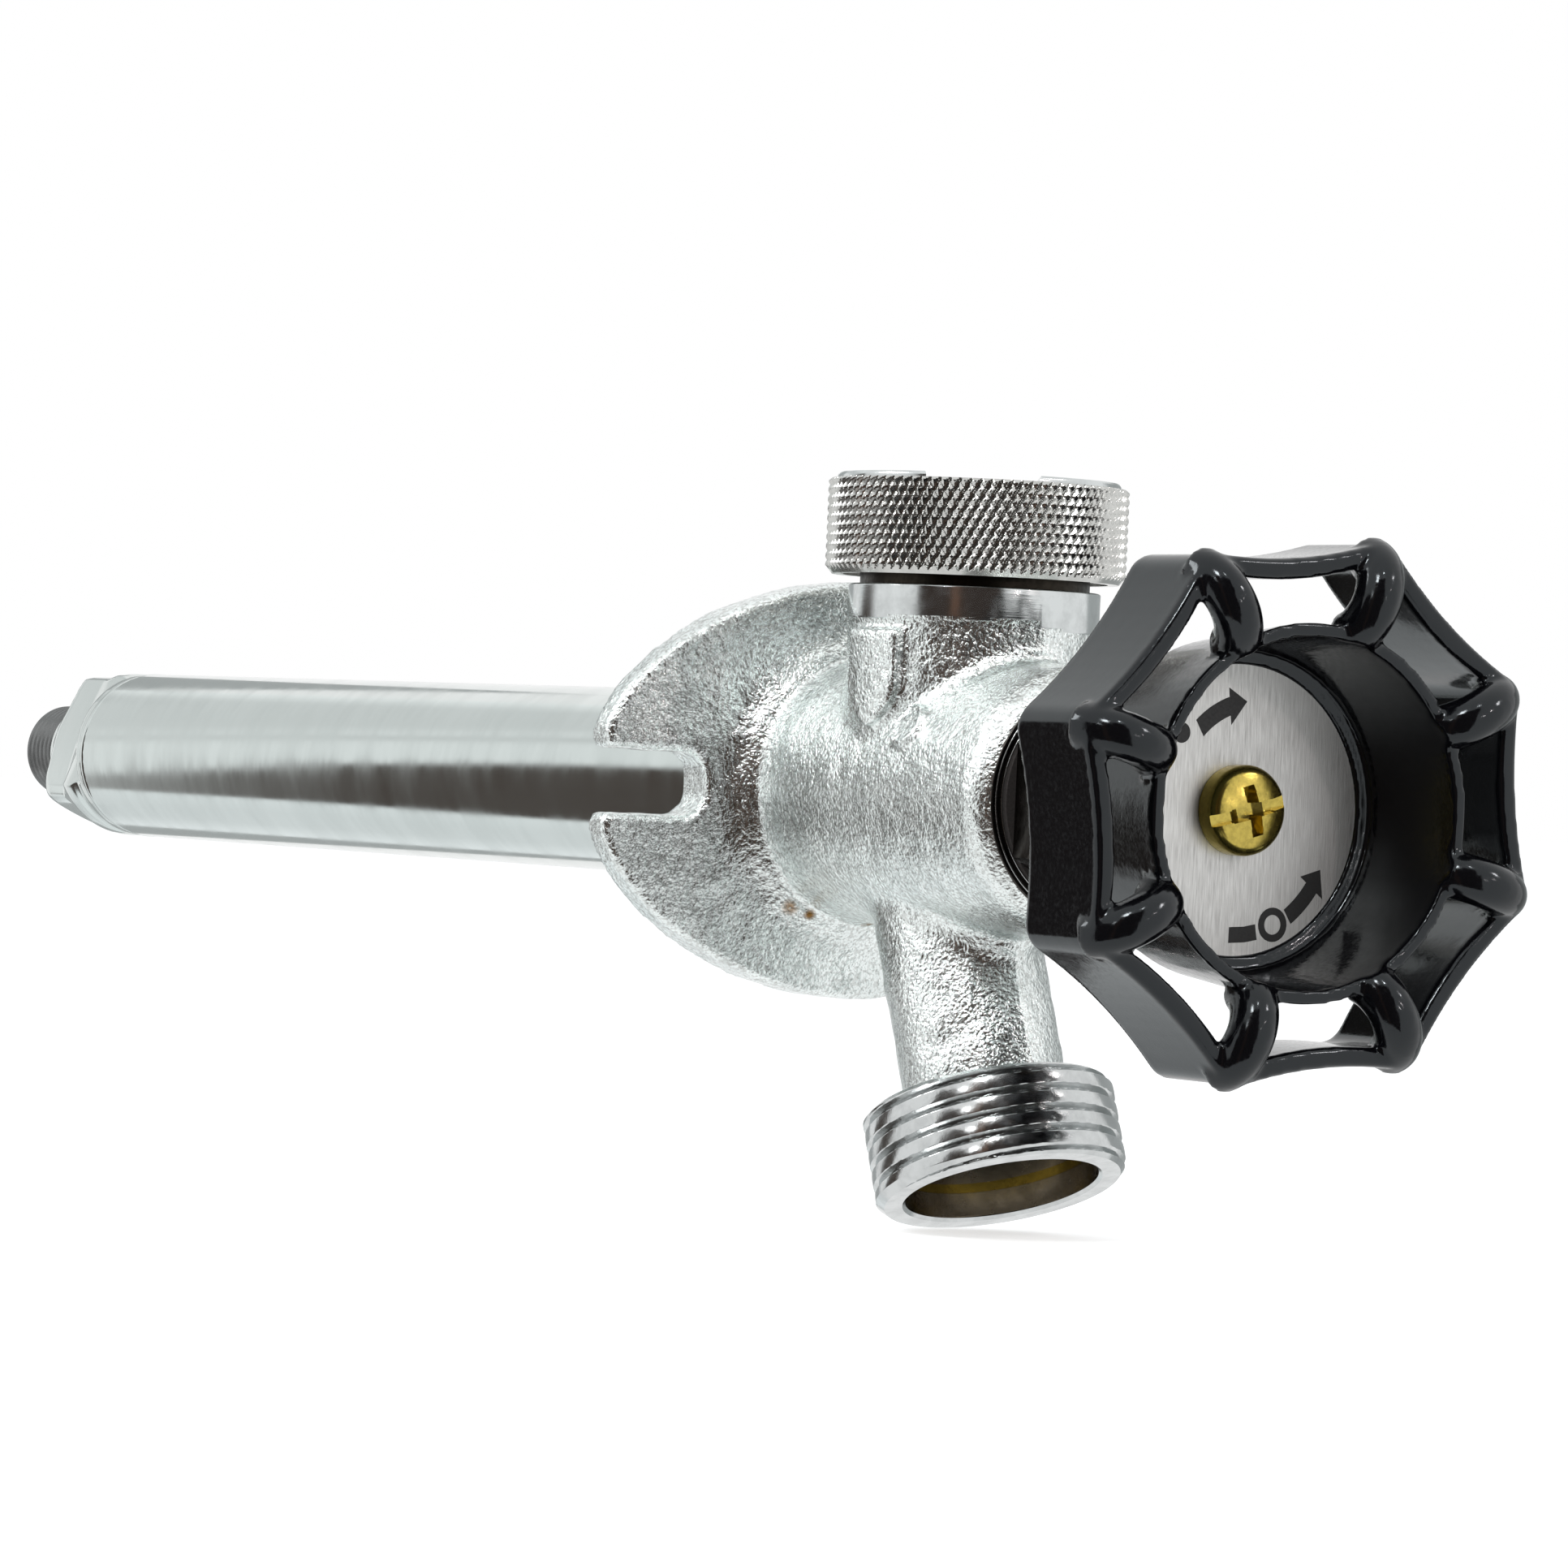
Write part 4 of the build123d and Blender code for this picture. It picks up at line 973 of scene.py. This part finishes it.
def inlet_stub():
    valley = stub_radius - stub_ring_depth
    profile = [(stub_start - 0.1, stub_radius - 0.4)]
    length = (stub_end - stub_start) / stub_rings
    for k in range(stub_rings):
        start = stub_start + length * k
        profile += [(start + 0.05, valley), (start + 0.35, stub_radius)]
        profile += [(start + length - 0.3, stub_radius), (start + length, valley)]
    profile += [(stub_tip, stub_radius - 0.5), (stub_tip, stub_radius - 0.9)]
    stub = sharpen(turned("inlet_stub", profile, main_frame(), closed=False), 30)
    give(stub, "stub")
    return stub


def inlet():
    body, rim, stub = inlet_body(), tube_rim(), inlet_stub()
    for piece in (body, stub):
        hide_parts("inlet_fitting")
    for piece in (body, rim, stub):
        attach(piece, "body")


inlet()


# Screw of the hand wheel: domed head with a slot and a cross recess
def handle_screw():
    turn = radians(screw_slot_angle)
    slot = screw_slot_half
    rows = [-screw_radius + (screw_radius - slot - 0.03) * k / 34 for k in range(35)]
    rows += [-slot + 0.02, -slot / 2, 0.0, slot / 2, slot - 0.02]
    rows += [slot + 0.03 + (screw_radius - slot - 0.03) * k / 34 for k in range(35)]
    columns = 140

    def depth(u, v):
        r = hypot(u, v)
        low = screw_dome * (r / screw_radius) ** 2
        past = min(max(r - screw_radius + screw_round, 0.0), screw_round)
        low += screw_round - sqrt(screw_round ** 2 - past ** 2)
        if abs(v) < slot:
            low = max(low, screw_slot_depth)
        for a, b in ((u, v), (v, u)):
            if abs(a) < screw_cross_half and abs(b) < screw_cross_reach:
                rise = screw_cross_slope * max(0.0, abs(b) - screw_cross_flat)
                low = max(low, screw_cross_depth - rise)
        return low

    def place(u, v, y):
        return Vector((u * cos(turn) - v * sin(turn), y, u * sin(turn) + v * cos(turn))) * MM

    verts, faces = [], []
    width = columns + 3
    for v in rows:
        reach = sqrt(max(screw_radius ** 2 - v ** 2, 0.0))
        line = [(-reach + 2 * reach * k / columns) for k in range(columns + 1)]
        verts.append(place(-reach, v, screw_seat_y))
        verts += [place(u, v, screw_top_y + depth(u, v)) for u in line]
        verts.append(place(reach, v, screw_seat_y))
    for i in range(len(rows) - 1):
        for k in range(width - 1):
            a = i * width + k
            faces.append((a, a + 1, a + width + 1, a + width))
    piece = sharpen(add_mesh("hand_wheel_screw", verts, faces), 30)
    give(piece, "brass")
    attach(piece, "hand_wheel")
    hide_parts("handle_screw")


handle_screw()


# Marks on the plate: two curved arrows, a bar, an open ring and a dot
def flat_marks():
    verts, faces = [], []
    y = plate_front_y - 0.02

    def at(radius, angle):
        return radius * cos(radians(angle)), radius * sin(radians(angle))

    def add_outline(points):
        base = len(verts)
        for x, z in points:
            verts.append(Vector((x, y, z)) * MM)
        faces.append(tuple(range(base, base + len(points))))

    def arrow(start, neck, tip, radii, width, head, steps=14):
        first, last = radii

        def radius_at(angle):
            return first + (last - first) * (angle - start) / (tip - start)

        line = [start + (neck - start) * k / steps for k in range(steps + 1)]
        for k in range(steps):
            a, b = line[k], line[k + 1]
            add_outline([at(radius_at(a) + width / 2, a), at(radius_at(b) + width / 2, b),
                         at(radius_at(b) - width / 2, b), at(radius_at(a) - width / 2, a)])
        outer, inner = radius_at(neck) + head / 2, radius_at(neck) - head / 2
        add_outline([at(outer, neck), at(last, tip), at(inner, neck)])

    arrow(121, 97, 86, (9.4, 11.0), 1.9, 3.8)
    arrow(-57, -38, -28, (12.6, 12.1), 1.7, 3.6)
    cx, cz = at(10.3, 133)
    add_outline([(cx + x, cz + z) for x, z in (at(1.05, 15 * k) for k in range(24))])
    cx, cz = at(12.5, -66)
    for k in range(24):
        corners = (at(1.75, 15 * k), at(1.75, 15 * k + 15), at(1.0, 15 * k + 15), at(1.0, 15 * k))
        add_outline([(cx + x, cz + z) for x, z in corners])
    bar = ((13.4, -91), (13.4, -82.5), (13.4, -76), (11.8, -75.5), (11.8, -82.5), (11.8, -91))
    add_outline([at(radius, angle) for radius, angle in bar])
    piece = add_mesh("plate_marks", verts, faces, smooth=False)
    give(piece, "ink")
    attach(piece, "hand_wheel")


flat_marks()


# Stage: floor, studio light and camera
def floor():
    low = cad_bounds[0][2]
    size = 6.0
    corners = [(x * size, y * size, low) for x, y in ((-1, -1), (1, -1), (1, 1), (-1, 1))]
    piece = add_mesh("floor", corners, [(0, 1, 2, 3)], smooth=False)
    material, n, links, shader = new_material("floor", (0.86, 0.86, 0.86), 0.0, 0.8)
    shader.inputs["Specular IOR Level"].default_value = 0.0
    path = n.new("ShaderNodeLightPath")
    glow = n.new("ShaderNodeEmission")
    glow.inputs["Color"].default_value = (1, 1, 1, 1)
    scale = n.new("ShaderNodeMath")
    scale.operation = "MULTIPLY"
    scale.inputs[1].default_value = 0.62
    links.new(path.outputs["Is Camera Ray"], scale.inputs[0])
    links.new(scale.outputs[0], glow.inputs["Strength"])
    total = n.new("ShaderNodeAddShader")
    links.new(shader.outputs[0], total.inputs[0])
    links.new(glow.outputs[0], total.inputs[1])
    links.new(total.outputs[0], n["Material Output"].inputs["Surface"])
    piece.data.materials.append(material)
    piece.visible_glossy = False


def area_light(name, place, target, size, power, colour):
    data = bpy.data.lights.new(name, "AREA")
    data.shape = "RECTANGLE"
    data.size = data.size_y = size
    data.energy = power
    data.color = colour
    lamp = bpy.data.objects.new(name, data)
    lamp.location = place
    lamp.rotation_euler = (Vector(target) - Vector(place)).to_track_quat("-Z", "Y").to_euler()
    bpy.context.scene.collection.objects.link(lamp)


def studio_world():
    """Diffuse light is plain and soft. The camera, metal and glass see a white room."""
    world = bpy.data.worlds.new("studio")
    bpy.context.scene.world = world
    world.use_nodes = True
    n, links = world.node_tree.nodes, world.node_tree.links
    n.clear()
    out = n.new("ShaderNodeOutputWorld")
    path = n.new("ShaderNodeLightPath").outputs
    soft = n.new("ShaderNodeBackground")
    soft.inputs["Color"].default_value = (0.95, 0.98, 1.0, 1)
    soft.inputs["Strength"].default_value = 0.55
    white = n.new("ShaderNodeBackground")
    white.inputs["Color"].default_value = (1, 1, 1, 1)
    white.inputs["Strength"].default_value = 1.0
    seen = math_node(n, links, "MAXIMUM", path["Is Camera Ray"], path["Is Glossy Ray"])
    seen = math_node(n, links, "MAXIMUM", seen, path["Is Transmission Ray"])
    mix = n.new("ShaderNodeMixShader")
    links.new(seen, mix.inputs[0])
    links.new(soft.outputs[0], mix.inputs[1])
    links.new(white.outputs[0], mix.inputs[2])
    links.new(mix.outputs[0], out.inputs["Surface"])


def only_reflected(piece):
    piece.visible_camera = False
    piece.visible_diffuse = False
    piece.visible_shadow = False
    piece.visible_transmission = False


def glowing(name):
    """A material that only glows, and the nodes to colour it with."""
    material = bpy.data.materials.new(name)
    material.use_nodes = True
    n, links = material.node_tree.nodes, material.node_tree.links
    glow = n.new("ShaderNodeEmission")
    links.new(glow.outputs[0], n["Material Output"].inputs["Surface"])
    return material, n, links, glow


def card(name, corners, colour):
    piece = add_mesh(name, corners, [(0, 1, 2, 3)], smooth=False)
    material, n, links, glow = glowing(name)
    glow.inputs["Color"].default_value = (*colour, 1)
    piece.data.materials.append(material)
    only_reflected(piece)


def camera_axes():
    yaw, pitch, roll = radians(camera_yaw), radians(camera_pitch), radians(camera_roll)
    look = Vector((sin(yaw) * cos(pitch), cos(yaw) * cos(pitch), sin(pitch)))
    right = look.cross(Vector((0, 0, 1))).normalized()
    up = right.cross(look)
    turned_right = right * cos(roll) + up * sin(roll)
    turned_up = up * cos(roll) - right * sin(roll)
    return look, turned_right, turned_up


def camera():
    look, right, up = camera_axes()
    data = bpy.data.cameras.new("camera")
    data.lens = camera_lens
    data.sensor_fit = "HORIZONTAL"
    data.sensor_width = camera_sensor
    data.clip_start = 0.01
    data.clip_end = 50
    thing = bpy.data.objects.new("camera", data)
    place = Vector(camera_place) * MM
    rotation = Matrix((right, up, -look)).transposed().to_4x4()
    thing.matrix_world = Matrix.Translation(place) @ rotation
    bpy.context.scene.collection.objects.link(thing)
    bpy.context.scene.camera = thing


def side_card(name, span, distance, low, high, colour):
    """An upright card between two angles round the object."""
    look, right, up = camera_axes()
    flat = Vector((look.x, look.y, 0)).normalized()
    side = Vector((right.x, right.y, 0)).normalized()
    centre = Vector((0, -0.02, 0))
    ends = [centre + (side * sin(radians(a)) - flat * cos(radians(a))) * distance for a in span]
    low, high = Vector((0, 0, low)), Vector((0, 0, high))
    card(name, [ends[0] + low, ends[1] + low, ends[1] + high, ends[0] + high], colour)


def cards():
    """A dark side round the camera with one warmer strip, and grey edges beyond the object."""
    first, last = dark_side_span
    step = (last - first) / dark_side_strips
    for k in range(dark_side_strips):
        warm = 0.10 if k == 4 else 0.0
        colour = (0.045 + warm, 0.035 + warm * 0.5, 0.03 + warm * 0.3)
        span = (first + step * k, first + step * (k + 1))
        top = card_top if k < 4 else card_high_top
        side_card("dark_side_" + str(k), span, dark_side_distance, dark_side_low, top, colour)
    for k, span in enumerate(grey_edges):
        name = "grey_edge_" + str(k)
        side_card(name, span, grey_edge_distance, grey_edge_low, card_top, (0.42, 0.44, 0.44))


def stripe_shade(y, drop):
    """Grey that the tube mirrors at a distance along it and some degrees below its middle."""
    top = np.interp(y, (-60, 3, 50, 100, 175, 196), (-14, -9, -7, -1, 17, 22))
    bottom = np.interp(y, (-60, 3, 50, 100, 175, 196), (22, 28, 28, 26, 25.5, 25))
    depth = np.interp(y, (3, 100, 140, 175, 196), (1.0, 1.0, 0.9, 0.6, 0.2))
    line = np.interp(y, (3, 50, 100, 183, 196), (-26, -23, -18.5, -9, -8))
    inside = np.clip((drop - top) / 4.5 + 0.5, 0, 1) * np.clip((bottom - drop) / 2.5 + 0.5, 0, 1)
    inside = smooth(inside)
    place = np.array([[y, drop * 0.12, 0.0]])
    smudge = 0.5 + 0.5 * noise(place, 2.3, 11)[0] + 0.3 * noise(place, 5.1, 12)[0]
    upper = np.clip((line - 2 - drop) / 6, 0, 1)
    lower = np.clip((drop - bottom) / 10, 0, 1)
    level = 0.92 - 0.16 * upper - 0.08 * lower - 0.24 * exp(-((drop - line) / 1.9) ** 2)
    edge = np.clip((drop + 52) / 8, 0, 1) * np.clip((60 - drop) / 12, 0, 1)
    edge = edge * np.clip((y + 20) / 20, 0, 1)
    level = 1 - (1 - level) * edge
    mottle = np.interp(y, (0, 80, 180), (0.02, 0.06, 0.14))
    dark = depth * inside * (1 - mottle * np.clip(smudge, 0, 1.3))
    under = (0.065, 0.052, 0.045)
    cool = (0.97, 1.0, 1.0) if lower == 0 else (0.95, 0.99, 1.0)
    return tuple(level * cool[k] * (1 - dark) + under[k] * dark for k in range(3))


def tube_card():
    """A card that the tube mirrors as a soft dark stripe with a faint line above it."""
    rows, columns = 90, 300
    first, last, high, low = -130.0, 196.0, -52.0, 60.0
    eye = Vector(camera_place)
    verts, faces, shades = [], [], []
    for i in range(columns + 1):
        y = first + (last - first) * i / columns
        for k in range(rows + 1):
            drop = high + (low - high) * k / rows
            normal = Vector((-cos(radians(drop)), 0, -sin(radians(drop))))
            point = Vector((0, y, 0)) + normal * tube_radius
            view = (eye - point).normalized()
            mirror = normal * (2 * normal.dot(view)) - view
            verts.append((point + mirror * 700) * MM)
            shades.append(stripe_shade(y, drop))
    for i in range(columns):
        for k in range(rows):
            a = i * (rows + 1) + k
            faces.append((a, a + 1, a + rows + 2, a + rows + 1))
    mesh = bpy.data.meshes.new("tube_card")
    mesh.from_pydata([tuple(v) for v in verts], [], faces)
    shade = mesh.color_attributes.new("shade", "FLOAT_COLOR", "POINT")
    shade.data.foreach_set("color", [c for colour in shades for c in (*colour, 1.0)])
    piece = bpy.data.objects.new("tube_card", mesh)
    bpy.context.scene.collection.objects.link(piece)
    material, n, links, glow = glowing("tube_card")
    read = n.new("ShaderNodeAttribute")
    read.attribute_name = "shade"
    links.new(read.outputs["Color"], glow.inputs["Color"])
    mesh.materials.append(material)
    only_reflected(piece)


floor()
studio_world()
for lamp in lamps:
    area_light(*lamp)
camera()
cards()
tube_card()

bpy.context.scene.view_settings.view_transform = "Standard"
